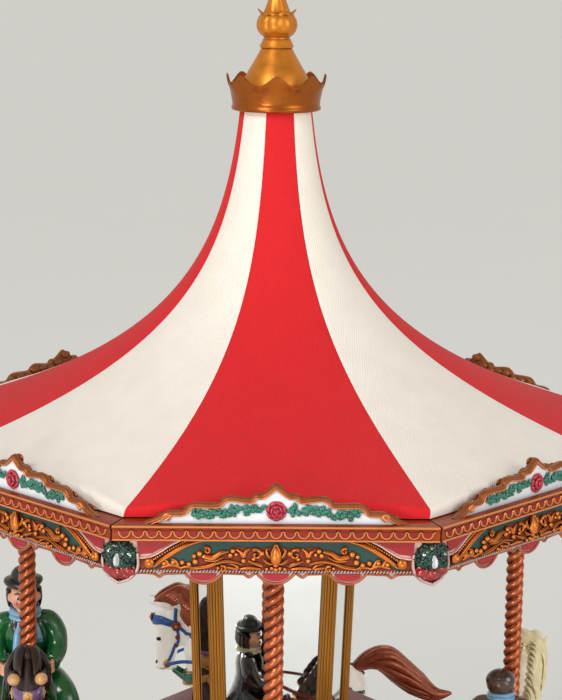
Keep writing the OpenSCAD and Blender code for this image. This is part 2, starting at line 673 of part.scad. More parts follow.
module rounding_board(i) color(COPPER) panel(i) translate([0, 0, rail_z]) {
    side = [for (p = [rail_out, rail_in]) p * tan22 - panel_gap];
    translate([0, 0, -rail_height]) linear_extrude(rail_height)
        polygon([[-side[0], -rail_out], [side[0], -rail_out],
                 [side[1], -rail_in], [-side[1], -rail_in]]);
    intersection() {
        translate([0, -frieze_in, -rail_height + eps]) rotate([90, 0, 0])
            linear_extrude(frieze_out - frieze_in) union() {
                translate([-60, -frieze_low + rail_height]) square([120, frieze_low - rail_height]);
                for (s = scallops) translate([s[0], -frieze_low + rail_height + 0.6])
                    circle(r = s[1] - 0.4);
                for (x = [-9.5, 9.5, -41, 41]) translate([x, -frieze_low + rail_height])
                    rotate(45) square(2.4, center = true);
            }
        fs = [for (p = [frieze_out, frieze_in]) p * tan22 - panel_gap];
        translate([0, 0, -40]) linear_extrude(60)
            polygon([[-fs[0], -frieze_out], [fs[0], -frieze_out],
                     [fs[1], -frieze_in], [-fs[1], -frieze_in]]);
    }
    translate([0, -crest_in, -eps]) rotate([90, 0, 0]) linear_extrude(crest_out - crest_in)
        polygon(concat(crest_steps, [for (k = [len(crest_steps) - 2:-1:0])
                                     [-crest_steps[k][0], crest_steps[k][1]]]));
}

// Shield-shaped wreath bent round a corner below the rail
wreath_half = 7;
wreath_top = -6;
wreath_point = -21.6;
wreath_thick = 3.2;
module wreath_outline() {
    polygon(concat(
        [[0, wreath_point], [4.6, wreath_point + 2], [wreath_half, wreath_point + 5],
         [wreath_half, wreath_top - 5.4]],
        [for (a = [0:20:180]) [wreath_half * cos(a), wreath_top - 5.2 + 5.2 * sin(a)]],
        [[-wreath_half, wreath_top - 5.4], [-wreath_half, wreath_point + 5],
         [-4.6, wreath_point + 2]]));
}
corner_r = frieze_out / cos(22.5);
module corner_wreaths() color([0.1, 0.4, 0.28]) for (i = [1:8]) panel(i)
    rotate([0, 0, 22.5]) translate([0, 0, rail_z]) difference() {
        intersection() {
            translate([0, -corner_r + 6, 0]) rotate([90, 0, 0]) linear_extrude(16) wreath_outline();
            translate([0, 0, -30]) linear_extrude(30) difference() {
                wedge(wreath_thick);
                wedge(0.05);
            }
        }
        translate([0, -corner_r + 20, wreath_top - 7.6]) rotate([90, 0, 0]) cylinder(r = 1.5, h = 40);
    }
// Plan of a canopy corner, its faces moved out by t
module wedge(t) {
    tip = corner_r + t / cos(22.5);
    polygon([[0, -tip], [20, -tip + 20 * tan22], [20, 0], [-20, 0], [-20, -tip + 20 * tan22]]);
}

module lamps() color([1, 0.98, 0.9, 0.6]) for (i = [1:8]) panel(i) rotate([0, 0, 22.5])
    translate([0, -corner_r - 0.2, rail_z + wreath_top - 7.6]) rotate([90, 0, 0])
        rotate_extrude($fn = 32) polygon(concat([[0, 0], [1.45, 0]],
            [for (a = [0:18:90]) [1.45 * cos(a), 3.4 + 1.6 * sin(a)]]));

crown_bottom = rail_z + 133.9;
crown_h = 12.8;
crown_r0 = 17.5;
crown_r1 = 20.2;
crown_wall = 1.2;
crown_dip = 3;
// Flared gold band with eight soft peaks round its top, its floor caps the roof's neck
module crown() color(GOLD) translate([0, 0, crown_bottom]) {
    difference() {
        rotate_extrude() polygon(
            [[0, 0], [crown_r0, 0], [crown_r0 + 0.5, 1], [crown_r0 + 0.3, 2],
             [crown_r1, crown_h], [crown_r1 - crown_wall, crown_h], [crown_r0 - 1.4, 2], [0, 2]]);
        for (k = [0:7]) rotate([0, 0, 45 * k + 22.5]) translate([10, 0, crown_h + 4.2])
            rotate([0, 90, 0]) cylinder(r = 4.2 + crown_dip, h = 20);
    }
    translate([0, 0, -10]) cylinder(r = 9, h = 10 + eps);
}

// Turned finial: cone, collar ring, neck, knob with turned-out petal tips and a bud
module finial() color(GOLD) translate([0, 0, rail_z]) rotate_extrude() polygon(concat(
    [[0, 135.95], [15, 135.95], [14.2, 139], [13, 143.5], [11.9, 148.3], [9.4, 152.6],
     [6.6, 157.2], [6.2, 157.9]],
    [for (a = [-60:30:60]) [5.7 + 1.2 * cos(a), 159.5 + 1.8 * sin(a)]],
    [[5.3, 161.4], [5.2, 162.6]],
    [for (a = [-50:20:50]) [8 * cos(a), 167 + 5.4 * sin(a)]],
    [[6.4, 171.3], [7.8, 172.4], [6.6, 173], [5.7, 173.2], [5, 175], [4.2, 176.9],
     [3.6, 180], [2.6, 183.5], [1.2, 186.8], [0, 188]]));

base_shell();
base_trim();
base_cover();
feet();
cover_screws();
mechanism_plate();
fixed_crown_gear();
gear_motor();
speaker();
sound_board();
dc_socket();
idler_shaft();
main_bearing();
music_button();
volume_knob();
motor_pinion();
idler_gear();
hub_shaft();
main_gear();
deck();
deck_rim();
hub_drum();
hub_skirt();
column_core();
column_posts();
wide_mirrors();
narrow_mirrors();
ceiling();
pole_bushes();
crank_brackets();
roof_shell();
roof_cover();
corner_wreaths();
lamps();
crown();
finial();
for (i = [1:8]) rounding_board(i);
for (i = [1:4]) crank(i);
for (i = [1:4]) pole(i);
for (i = [1:4]) horse(i);
for (i = [1:4]) rider(i);
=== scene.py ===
"""Looks of the carousel music box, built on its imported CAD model.

Shapes are written in millimetres and turned into metres when a mesh is made. The canopy's
parts are made on the panel that faces -Y and turned into place; their heights count from
the top of the canopy rail.
"""
import random
from math import copysign, cos, dist, exp, pi, radians, sin, sqrt, tan

import bmesh
import bpy
import numpy as np
from mathutils import Matrix, Vector
from mathutils.bvhtree import BVHTree


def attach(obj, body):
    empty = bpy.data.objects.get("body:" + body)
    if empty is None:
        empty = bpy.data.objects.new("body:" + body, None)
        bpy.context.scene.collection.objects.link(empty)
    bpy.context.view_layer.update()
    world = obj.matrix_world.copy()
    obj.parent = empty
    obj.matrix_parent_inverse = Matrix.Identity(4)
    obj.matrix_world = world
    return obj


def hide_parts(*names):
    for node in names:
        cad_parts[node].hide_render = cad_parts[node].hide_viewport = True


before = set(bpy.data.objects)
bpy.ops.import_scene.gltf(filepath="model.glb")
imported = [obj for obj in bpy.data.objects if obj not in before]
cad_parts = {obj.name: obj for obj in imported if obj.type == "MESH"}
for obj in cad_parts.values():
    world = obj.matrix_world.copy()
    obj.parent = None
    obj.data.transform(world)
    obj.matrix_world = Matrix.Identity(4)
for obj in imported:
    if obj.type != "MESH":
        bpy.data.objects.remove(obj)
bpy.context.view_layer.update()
MM = 0.001
TAU = 2 * pi
RAIL = 270.0        # top of the canopy rail above the table
ON_RAIL = Matrix.Translation((0, 0, RAIL * MM))
TAN22 = tan(radians(22.5))
COLUMN_LEAN, LEAN_Z = tan(radians(1.8)), 213    # the column widens upwards, its sizes are at LEAN_Z
POLE_CIRCLE = 103.0
CRANK_Z, THROW = 48, 12
CRANK_PHASE = {1: -75, 2: -60, 3: -120, 4: 120}
YOKE_Z = {i: CRANK_Z + THROW * sin(radians(p)) for i, p in CRANK_PHASE.items()}
FIGURE_Z, SEAT_Z = 78.39, 13.5      # the horse's origin over the yoke, the rider's over the horse's

# ---------------------------------------------------------------- finishes


def srgb(r, g, b):
    """Linear colour of an 8-bit sRGB one."""
    line = [c / 255 for c in (r, g, b)]
    return tuple(c / 12.92 if c < 0.04 else ((c + 0.055) / 1.055) ** 2.4 for c in line) + (1,)


def shade(colour, k):
    """The colour made lighter or darker by the factor k."""
    return tuple(min(1, c * k) for c in colour[:3]) + (1,)


class Tree:
    """A material's node tree with short ways to add the usual nodes."""

    def __init__(self, name):
        self.mat = bpy.data.materials.new(name)
        self.mat.use_nodes = True
        self.nodes, self.links = self.mat.node_tree.nodes, self.mat.node_tree.links
        self.shader = self.nodes["Principled BSDF"]

    def feed(self, socket, value):
        """Link an output to the socket, or set the socket's constant."""
        if isinstance(value, bpy.types.NodeSocket):
            self.links.new(value, socket)
        else:
            socket.default_value = value

    def node(self, kind, inputs=(), **settings):
        n = self.nodes.new(kind)
        for key, value in settings.items():
            setattr(n, key, value)
        for key, value in dict(inputs).items():
            self.feed(n.inputs[key], value)
        return n

    def place(self, stretch=(1, 1, 1)):
        """Object coordinates in metres, stretched on each axis."""
        n = self.node("ShaderNodeTexCoord")
        return self.node("ShaderNodeMapping", {0: n.outputs["Object"], "Scale": stretch}).outputs[0]

    def noise(self, scale, detail=3.0, stretch=(1, 1, 1)):
        return self.node("ShaderNodeTexNoise", {"Vector": self.place(stretch), "Scale": scale,
                                                "Detail": detail}).outputs[0]

    def maths(self, operation, a, b=0.0):
        return self.node("ShaderNodeMath", {0: a, 1: b}, operation=operation).outputs[0]

    def span(self, value, low, high, out_low=0.0, out_high=1.0):
        """value from low..high mapped to out_low..out_high and kept inside it."""
        return self.node("ShaderNodeMapRange", {0: value, 1: low, 2: high, 3: out_low,
                                                4: out_high}).outputs[0]

    def mix(self, factor, a, b):
        return self.node("ShaderNodeMix", {0: factor, 6: a, 7: b}, data_type="RGBA").outputs[2]

    def wash_and_shade_mask(self, reach):
        """1 deep in a hollow, 0 in the open: the mask of the antique finish and the painted shade in
        hollows.
        """
        ao = self.node("ShaderNodeAmbientOcclusion", {"Distance": reach * MM}, samples=6)
        return self.span(ao.outputs["AO"], 0.35, 0.85, 1.0, 0.0)

    def edge(self):
        """1 on a raised edge of a dense mesh, where the colour is partly rubbed and partly a painted
        highlight.
        """
        return self.span(self.node("ShaderNodeNewGeometry").outputs["Pointiness"], 0.52, 0.6)

    def bump(self, height, depth, strength=1.0):
        n = self.node("ShaderNodeBump", {"Height": height, "Distance": depth * MM,
                                         "Strength": strength})
        self.feed(self.shader.inputs["Normal"], n.outputs[0])

    def set(self, **values):
        """Feed the shader's inputs, their names written with underscores."""
        for key, value in values.items():
            self.feed(self.shader.inputs[key.replace("_", " ")], value)


def finish(name, colour, rough=0.45, metal=0.0, vary=0.12, grain=260, pores=1500, depth=0.03,
           wash_and_shade=None, reach=1.5, rub_and_highlight=None, coat=0.0, stretch=(1, 1, 1), glow=0.0):
    """Painted, moulded or plated surface: blotches in colour and gloss, fine bumps, a darker colour
    in the hollows, as a colour or a share of the paint's own, partly an antique finish and partly
    painted shade, raised edges partly rubbed and partly a painted highlight, and an even glow of its own
    colour."""
    t = Tree(name)
    colour = srgb(*colour)
    blotch = t.noise(grain, 4, stretch)
    base = t.mix(t.span(blotch, 0.3, 0.7), shade(colour, 1 - vary), shade(colour, 1 + vary))
    # Raised edges lighter: partly rubbed finish, partly a painted highlight
    if rub_and_highlight:
        base = t.mix(t.edge(), base, srgb(*rub_and_highlight))
    if wash_and_shade:
        base = t.mix(t.wash_and_shade_mask(reach), base,
                     shade(colour, wash_and_shade) if isinstance(wash_and_shade, float) else srgb(*wash_and_shade))
    t.set(Base_Color=base, Metallic=metal, Coat_Weight=coat, Coat_Roughness=0.12,
          Emission_Color=colour, Emission_Strength=glow,
          Roughness=t.span(blotch, 0.25, 0.75, rough * 0.85, rough * 1.2))
    t.bump(t.noise(pores, 3, stretch), depth)
    return t.mat


def cloth(name, colour, rib=0.9, sheen=0.25):
    """Twill: slanted ribs crossed by a finer thread, on UVs in millimetres."""
    t = Tree(name)
    uv = t.node("ShaderNodeUVMap").outputs[0]

    def wave(across, along, pitch):
        d = t.node("ShaderNodeVectorMath", {0: uv, 1: (across * TAU / pitch, along * TAU / pitch, 0)},
                   operation="DOT_PRODUCT").outputs["Value"]
        return t.span(t.maths("SINE", d), -1, 1)

    fuzz = t.node("ShaderNodeTexNoise", {"Vector": uv, "Scale": 2.4, "Detail": 4}).outputs[0]
    cloud = t.node("ShaderNodeTexNoise", {"Vector": uv, "Scale": 0.07, "Detail": 3}).outputs[0]
    ribs = t.maths("ADD", t.maths("MULTIPLY", wave(0.82, 0.57, rib), 0.62),
                   t.maths("MULTIPLY", wave(-0.5, 0.87, rib * 0.55), 0.3))
    height = t.maths("ADD", ribs, t.maths("MULTIPLY", fuzz, 0.5))
    tone = t.maths("ADD", t.maths("MULTIPLY", height, 0.6), t.maths("MULTIPLY", cloud, 0.5))
    t.set(Base_Color=t.mix(t.span(tone, 0.3, 1.1), shade(colour, 0.86), shade(colour, 1.08)),
          Roughness=0.88, Sheen_Weight=sheen, Sheen_Roughness=0.45)
    t.bump(height, 0.12, 0.8)
    return t.mat


def wood(name, colour, plank=18.0):
    """Planks along X with grain and dark joints."""
    t = Tree(name)
    across = t.node("ShaderNodeSeparateXYZ", {0: t.place()}).outputs[1]
    saw = t.maths("FRACT", t.maths("MULTIPLY", across, 1000 / plank))
    joint = t.span(t.maths("ABSOLUTE", t.maths("SUBTRACT", saw, 0.5)), 0.46, 0.49)
    grain = t.noise(900, 6, (0.05, 1, 1))
    base = t.mix(t.span(grain, 0.3, 0.7), shade(colour, 0.7), shade(colour, 1.25))
    t.set(Base_Color=t.mix(joint, base, shade(colour, 0.25)), Roughness=t.span(grain, 0, 1, 0.3, 0.5),
          Coat_Weight=0.3)
    t.bump(t.maths("SUBTRACT", grain, t.maths("MULTIPLY", joint, 2)), 0.12)
    return t.mat


def mirror(name):
    """Silvered plastic mirror with faint haze and ripple."""
    t = Tree(name)
    haze = t.noise(90, 4)
    t.set(Base_Color=t.mix(haze, srgb(236, 240, 240), srgb(250, 252, 252)), Metallic=1.0,
          Roughness=t.span(haze, 0.35, 0.7, 0.01, 0.035))
    t.bump(t.noise(40, 2), 0.02)
    return t.mat


def clear(name):
    """Clear moulded lamp lens."""
    t = Tree(name)
    t.set(Base_Color=srgb(250, 252, 255), Transmission_Weight=0.35, IOR=1.49, Coat_Weight=1.0,
          Roughness=t.span(t.noise(900), 0.3, 0.7, 0.02, 0.09))
    t.bump(t.noise(1600), 0.02)
    return t.mat


# Colours in 8-bit sRGB; the hollows' colour is partly an antique finish and partly painted shade,
# the raised edges' colour is partly rubbed finish and partly a painted highlight
LOOKS = {
    # Lighter copper of the beads and edge lines: partly their own finish, partly a painted highlight
    "copper": dict(colour=(206, 100, 46), rough=0.3, metal=0.5, wash_and_shade=(70, 18, 8), reach=0.8,
        rub_and_highlight=(228, 140, 82)),
    "rail_copper": dict(colour=(150, 58, 14), rough=0.42, metal=0.35, wash_and_shade=(70, 14, 4), reach=1.2),
    "crest_copper": dict(colour=(150, 82, 38), rough=0.4, metal=0.5, wash_and_shade=(66, 26, 10)),
    "frieze_gold": dict(colour=(176, 76, 20), rough=0.3, metal=0.6, vary=0.2, wash_and_shade=(50, 12, 4),
        reach=2.0, rub_and_highlight=(232, 138, 58)),
    "frieze_ground": dict(colour=(128, 44, 12), rough=0.42, metal=0.4, wash_and_shade=(40, 8, 4)),
    "rope_pink": dict(colour=(200, 168, 160), rough=0.35, metal=0.3, wash_and_shade=(120, 60, 50), reach=0.6),
    "rose_copper": dict(colour=(176, 96, 62), rough=0.33, metal=0.4, wash_and_shade=(96, 34, 20), reach=1.0),
    "deep_red": dict(colour=(140, 24, 12), rough=0.4, metal=0.15),
    "enamel_red": dict(colour=(166, 14, 28), rough=0.4, coat=0.08, vary=0.1),
    "pale_line": dict(colour=(226, 184, 176), rough=0.4, metal=0.1, wash_and_shade=(150, 90, 80)),
    "field_green": dict(colour=(34, 70, 64), rough=0.5, vary=0.14),
    "panel_white": dict(colour=(232, 236, 240), rough=0.35, vary=0.04, wash_and_shade=(170, 178, 186), reach=2.5),
    "leaf_green": dict(colour=(24, 110, 88), rough=0.32, metal=0.05, vary=0.3, coat=0.4,
        wash_and_shade=(5, 40, 34), reach=1.2),
    "rose": dict(colour=(190, 36, 60), rough=0.35, vary=0.15, wash_and_shade=(104, 10, 20), coat=0.3),
    "wreath_green": dict(colour=(24, 62, 50), rough=0.3, metal=0.15, vary=0.5, coat=0.3,
        wash_and_shade=(3, 22, 18), reach=1.0),
    "wreath_red": dict(colour=(158, 24, 22), rough=0.22, metal=0.15, vary=0.3, coat=0.7,
        wash_and_shade=(84, 6, 8), reach=1.8),
    # Pale silver leaves on the wreath's top: silver sparkle of the wreath and a painted highlight
    "glitter": dict(colour=(214, 226, 220), rough=0.18, metal=0.8, vary=0.2),
    # A darker copy of the finial's gold for the crown band: painted shade
    "crown_gold": dict(colour=(160, 84, 16), rough=0.3, metal=0.7, vary=0.08, wash_and_shade=(80, 34, 6),
        reach=2, pores=900, depth=0.05),
    "gold": dict(colour=(210, 128, 34), rough=0.36, metal=0.6, vary=0.08, wash_and_shade=(96, 46, 10), reach=2,
        pores=900, depth=0.05),
    "post_gold": dict(colour=(172, 112, 32), rough=0.36, metal=0.5, vary=0.16, wash_and_shade=(66, 34, 6),
        reach=0.8, stretch=(1, 1, 0.1)),
    "pole_copper": dict(colour=(182, 86, 46), rough=0.28, metal=0.7, vary=0.14, wash_and_shade=(64, 16, 6),
        reach=1.8, rub_and_highlight=(240, 160, 112)),
    # Near-black copper in the poles' grooves: painted shade
    "pole_groove": dict(colour=(70, 20, 8), rough=0.45, metal=0.4),
    "maroon": dict(colour=(118, 48, 54), rough=0.5, coat=0.1, vary=0.1),
    "base_copper": dict(colour=(176, 96, 50), rough=0.32, metal=0.75, wash_and_shade=(70, 18, 8)),
    "black_plastic": dict(colour=(26, 26, 28), rough=0.45, depth=0.06),
    "rubber": dict(colour=(18, 18, 18), rough=0.8, depth=0.12),
    "steel": dict(colour=(190, 192, 196), rough=0.25, metal=1.0, stretch=(1, 1, 0.1)),
    "grey_plastic": dict(colour=(120, 122, 124), rough=0.5),
    "gear_plastic": dict(colour=(232, 228, 214), rough=0.4, vary=0.05),
    "circuit_board": dict(colour=(18, 92, 52), rough=0.35, vary=0.2, grain=900),
    "brass": dict(colour=(206, 160, 78), rough=0.28, metal=0.95),
    "red_plastic": dict(colour=(180, 24, 28), rough=0.3, coat=0.3),
    "cream_paint": dict(colour=(238, 228, 204), rough=0.4, vary=0.05, wash_and_shade=(170, 130, 90), reach=3),
    "floor_paper": dict(colour=(160, 159, 155), rough=0.9, vary=0.006, grain=3, pores=300, depth=0.02,
        glow=1.14),
}
FINISH = {name: finish(name, **look) for name, look in LOOKS.items()}
FINISH |= {
    "red_cloth": cloth("red_cloth", srgb(220, 22, 30), sheen=0.03),
    "cream_cloth": cloth("cream_cloth", srgb(246, 238, 226), sheen=0.1),
    "deck_wood": wood("deck_wood", srgb(134, 72, 40)), "mirror": mirror("mirror"), "lamp": clear("lamp"),
}

# Finish of each CAD node that keeps its own shape
KEPT = {
    "maroon": ["base_shell", "hub_skirt"], "base_copper": ["base_trim", "deck_rim"],
    "black_plastic": ["base_cover", "speaker", "dc_socket", "volume_knob"], "rubber": ["feet"],
    "steel": ["cover_screws", "gear_motor", "idler_shaft", "hub_shaft",
              *[f"crank_{i}" for i in YOKE_Z]],
    "grey_plastic": ["mechanism_plate", "crank_brackets"], "circuit_board": ["sound_board"],
    "gear_plastic": ["fixed_crown_gear", "idler_gear", "main_gear", "column_core"],
    "brass": ["main_bearing", "motor_pinion", "pole_bushes"], "red_plastic": ["music_button"],
    "deck_wood": ["deck"], "cream_paint": ["hub_drum", "ceiling", "roof_shell"],
    "mirror": ["wide_mirrors"],
}

# ---------------------------------------------------------------- mesh tools


def spline(points, count, loop=False):
    """Catmull-Rom curve through the points, as count points."""
    p = np.array(points, float)
    n = len(p)
    at = np.linspace(0, n if loop else n - 1, count, endpoint=not loop)
    k = np.minimum(at.astype(int), n - 1 if loop else n - 2)
    t = (at - k)[:, None]
    pick = (lambda i: p[i % n]) if loop else (lambda i: p[np.clip(i, 0, n - 1)])
    a, b, c, d = pick(k - 1), pick(k), pick(k + 1), pick(k + 2)
    return 0.5 * (2 * b + (c - a) * t + (2 * a - 5 * b + 4 * c - d) * t ** 2
                  + (3 * b - a - 3 * c + d) * t ** 3)


def taper(values, count):
    """The values at even steps, filled in straight to count values."""
    return np.interp(np.linspace(0, len(values) - 1, count), range(len(values)), values)


def turn(degrees):
    """Rotation about the vertical axis."""
    return Matrix.Rotation(radians(degrees), 4, "Z")


class Maker:
    """Gathers vertices in millimetres and faces with a finish each, for one mesh object."""

    def __init__(self):
        self.verts, self.faces, self.looks, self.count = [], [], [], 0

    def add(self, verts, faces, look):
        self.verts.append(np.array(verts, float))
        self.faces += [[i + self.count for i in f] for f in faces]
        self.looks += [look] * len(faces)
        self.count += len(verts)

    def rings(self, rings, look, loop=False, ends=True):
        """Skin over closed rings that all have the same number of points."""
        n, m = len(rings), len(rings[0])
        rows = n if loop else n - 1
        faces = [[i * m + j, i * m + (j + 1) % m, (i + 1) % n * m + (j + 1) % m, (i + 1) % n * m + j]
                 for i in range(rows) for j in range(m)]
        if ends and not loop:
            faces += [list(range(m)), list(range((n - 1) * m, n * m))]
        self.add(np.concatenate(rings), faces, look)

    def tube(self, path, width, look, up=(0, -1, 0), flat=1.0, sides=8, loop=False):
        """Sweep of an ellipse: width is its half size across up, flat times that along up."""
        p = np.array(path, float)
        n = len(p)
        t = (np.roll(p, -1, 0) - np.roll(p, 1, 0)) if loop else np.gradient(p, axis=0)
        t /= np.linalg.norm(t, axis=1)[:, None] + 1e-9
        u = np.broadcast_to(np.array(up, float), (n, 3))
        side = np.cross(u, t)
        side /= np.linalg.norm(side, axis=1)[:, None] + 1e-9
        u = np.cross(t, side)
        w, thin = np.broadcast_to(width, n), np.broadcast_to(flat, n)
        a = np.arange(sides) * TAU / sides
        self.rings([p[i] + w[i] * (np.cos(a)[:, None] * side[i] + thin[i] * np.sin(a)[:, None] * u[i])
                    for i in range(n)], look, loop)

    def ball(self, centre, radii, look, rows=6, cols=10, lean=None):
        """Ellipsoid round its centre, turned by the matrix lean."""
        r = np.broadcast_to(radii, 3)
        a = np.arange(cols) * TAU / cols
        rings = []
        for k in range(rows + 1):
            e = pi * (0.04 + 0.92 * k / rows)
            ring = np.stack([np.sin(e) * np.cos(a), np.sin(e) * np.sin(a),
                             np.full(cols, np.cos(e))], 1) * r
            rings.append((ring @ np.array(lean).T if lean is not None else ring) + centre)
        self.rings(rings, look)

    def plate(self, outline, y0, y1, look):
        """Plate standing across Y from y0 to y1, with an outline in X and Z."""
        self.rings([[(x, y, z) for x, z in outline] for y in (y0, y1)], look)

    def lathe(self, profile, look, cols=96, wave=None, ends=True):
        """Turned shape from (radius, height) pairs; wave(angle, r, z) may change both."""
        a = np.arange(cols) * TAU / cols
        rings = []
        for r, z in profile:
            rr, zz = (np.full(cols, float(r)), np.full(cols, float(z))) if wave is None \
                else wave(a, float(r), float(z))
            rings.append(np.stack([rr * np.cos(a), rr * np.sin(a), zz + 0 * a], 1))
        self.rings(rings, look, ends=ends)

    def mesh(self, name, sharp=35):
        """The gathered faces as a mesh in metres, creased where they meet at more than sharp."""
        me = bpy.data.meshes.new(name)
        names = sorted(set(self.looks))
        me.from_pydata((np.concatenate(self.verts) * MM).tolist(), [], self.faces)
        me.polygons.foreach_set("material_index", [names.index(x) for x in self.looks])
        bm = bmesh.new()
        bm.from_mesh(me)
        bmesh.ops.recalc_face_normals(bm, faces=bm.faces)
        bm.to_mesh(me)
        bm.free()
        for x in names:
            me.materials.append(FINISH[x])
        me.shade_smooth()
        me.set_sharp_from_angle(angle=radians(sharp))
        return me


def put(name, mesh, body, nodes=(), at=None):
    """One piece on a body, standing for CAD nodes; its mesh may be shared."""
    obj = bpy.data.objects.new(name, mesh)
    bpy.context.scene.collection.objects.link(obj)
    if at is not None:
        obj.matrix_world = at
    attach(obj, body)
    if nodes:
        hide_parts(*nodes)
    return obj


# ---------------------------------------------------------------- canopy cloth

NECK_R, FALL, FALL_POWER, SPREAD, ROOF_H = 11.0, 40.0, 1.08, 150.5, 133.9
COVER_AP = 130.7                # the cloth's edge from the axis, across flats
NECK_TWIST = radians(6.4)       # how far the seams have drifted round at the neck


def roof_r(z):
    return NECK_R + (SPREAD - NECK_R) * exp(-((max(z, 0) / FALL) ** FALL_POWER))


def roof_cover():
    """Eight gores, their edges drifting a little round the neck, hemmed down to the ledge."""
    heights = [ROOF_H * (1 - (k / 220)) for k in range(221)]
    profile = np.array([[roof_r(z), z] for z in heights])
    run = np.concatenate([[0], np.cumsum(np.linalg.norm(np.diff(profile, axis=0), axis=1))])
    across = [-1, -0.985, -0.96] + [k / 10 for k in range(-9, 10)] + [0.96, 0.985, 1]
    down = 64
    verts, uvs, faces, looks = [], [], [], []
    for g in range(8):
        first = len(verts)
        for a in across:
            phi = radians(22.5 * a)
            edge_r = COVER_AP / cos(phi)
            edge = float(np.interp(edge_r, profile[:, 0], run))
            edge_z = float(np.interp(edge, run, profile[:, 1]))
            fall = min(3.0, edge_z * 0.6)
            stops = [(edge - fall) * k / down for k in range(down + 1)]
            line = [(float(np.interp(s, run, profile[:, 0])), float(np.interp(s, run, profile[:, 1])))
                    for s in stops]
            r0, z0 = line[-1]
            for k in range(1, 7):
                t = k / 6
                line.append(((1 - t) ** 2 * r0 + (1 - (1 - t) ** 2) * edge_r,
                             (1 - t * t) * z0 + t * t * (edge_z - fall)
                             + 2 * t * (1 - t) * (edge_z - z0) * 0.5))
            line.append((edge_r, 0.45))
            seam = 0.3 if abs(a) > 0.97 else 0.0
            walk = 0.0
            for k, (r, z) in enumerate(line):
                if k:
                    walk += dist(line[k - 1], line[k])
                drift = NECK_TWIST * min(1, max(0, z / ROOF_H)) ** 0.8
                turned = phi + drift + radians(45 * g - 90)
                inset = r - seam * min(1, z / 20)
                verts.append((inset * cos(turned), inset * sin(turned), RAIL + z))
                uvs.append((r * phi, walk))
        rows = down + 8
        for i in range(len(across) - 1):
            for j in range(rows - 1):
                a, b = first + i * rows + j, first + (i + 1) * rows + j
                faces.append((a, b, b + 1, a + 1))
                looks.append(g % 2)
    me = bpy.data.meshes.new("roof_cover_cloth")
    me.from_pydata((np.array(verts) * MM).tolist(), [], faces)
    me.polygons.foreach_set("material_index", looks)
    me.uv_layers.new(name="UVMap")
    loop_verts = np.zeros(len(me.loops), int)
    me.loops.foreach_get("vertex_index", loop_verts)
    me.uv_layers[0].data.foreach_set("uv", np.array(uvs)[loop_verts].ravel())
    bm = bmesh.new()
    bm.from_mesh(me)
    bmesh.ops.remove_doubles(bm, verts=bm.verts, dist=0.02 * MM)
    bmesh.ops.recalc_face_normals(bm, faces=bm.faces)
    area = sum(f.calc_area() for f in bm.faces)
    bm.to_mesh(me)
    bm.free()
    me.materials.append(FINISH["red_cloth"])
    me.materials.append(FINISH["cream_cloth"])
    me.shade_smooth()
    obj = put("roof_cover_cloth", me, "carousel", ["roof_cover"])


# ---------------------------------------------------------------- rounding boards

FACE, RELIEF = -134.2, -135.1       # the boards' flat front, the middle of its scrollwork
# Right half of the crest's outline: (x, z)
CREST = [(46.5, 0), (41, 2.2), (37.8, 4.1), (32.5, 4.4), (29, 7.1), (20.4, 7.2), (18, 8.9),
         (15.6, 9.7), (9, 8.9), (7, 10.4), (4.2, 10.7), (0, 13.9)]


def rail(m):
    """Mitred moulding with a row of small cups."""
    section = [(130, 0), (139, 0), (139.7, -0.3), (139.8, -1), (139.3, -1.5), (139.3, -4.7),
               (139.7, -5.1), (139.6, -5.6), (139, -5.8), (130, -5.8)]
    ring = lambda s: np.array([(s * (d * TAN22 - 0.3), -d, z) for d, z in section])
    m.rings([ring(-1), ring(1)], "rail_copper")
    # Lighter copper beads along the top and bottom edges: partly a painted highlight on the bevels
    for z, w in ((-0.5, 0.42), (-5.25, 0.4)):
        end = 139.4 * TAN22 - 0.4
        m.tube([(-end, -139.5, z), (end, -139.5, z)], w, "copper")
    for k in range(-11, 12):
        x = 4.82 * k
        arc = np.array([(x + 2.0 * cos(a), -139.45, -2.1 - 2.35 * sin(a))
                        for a in np.linspace(0, pi, 11)])
        m.tube(arc, 0.32, "copper", sides=6)
        m.plate([(q[0] + (x - q[0]) * 0.1, q[2]) for q in arc], -139.0, -139.42, "deep_red")
        m.ball((x + 2.41, -139.5, -2.0), 0.4, "copper", 3, 6)


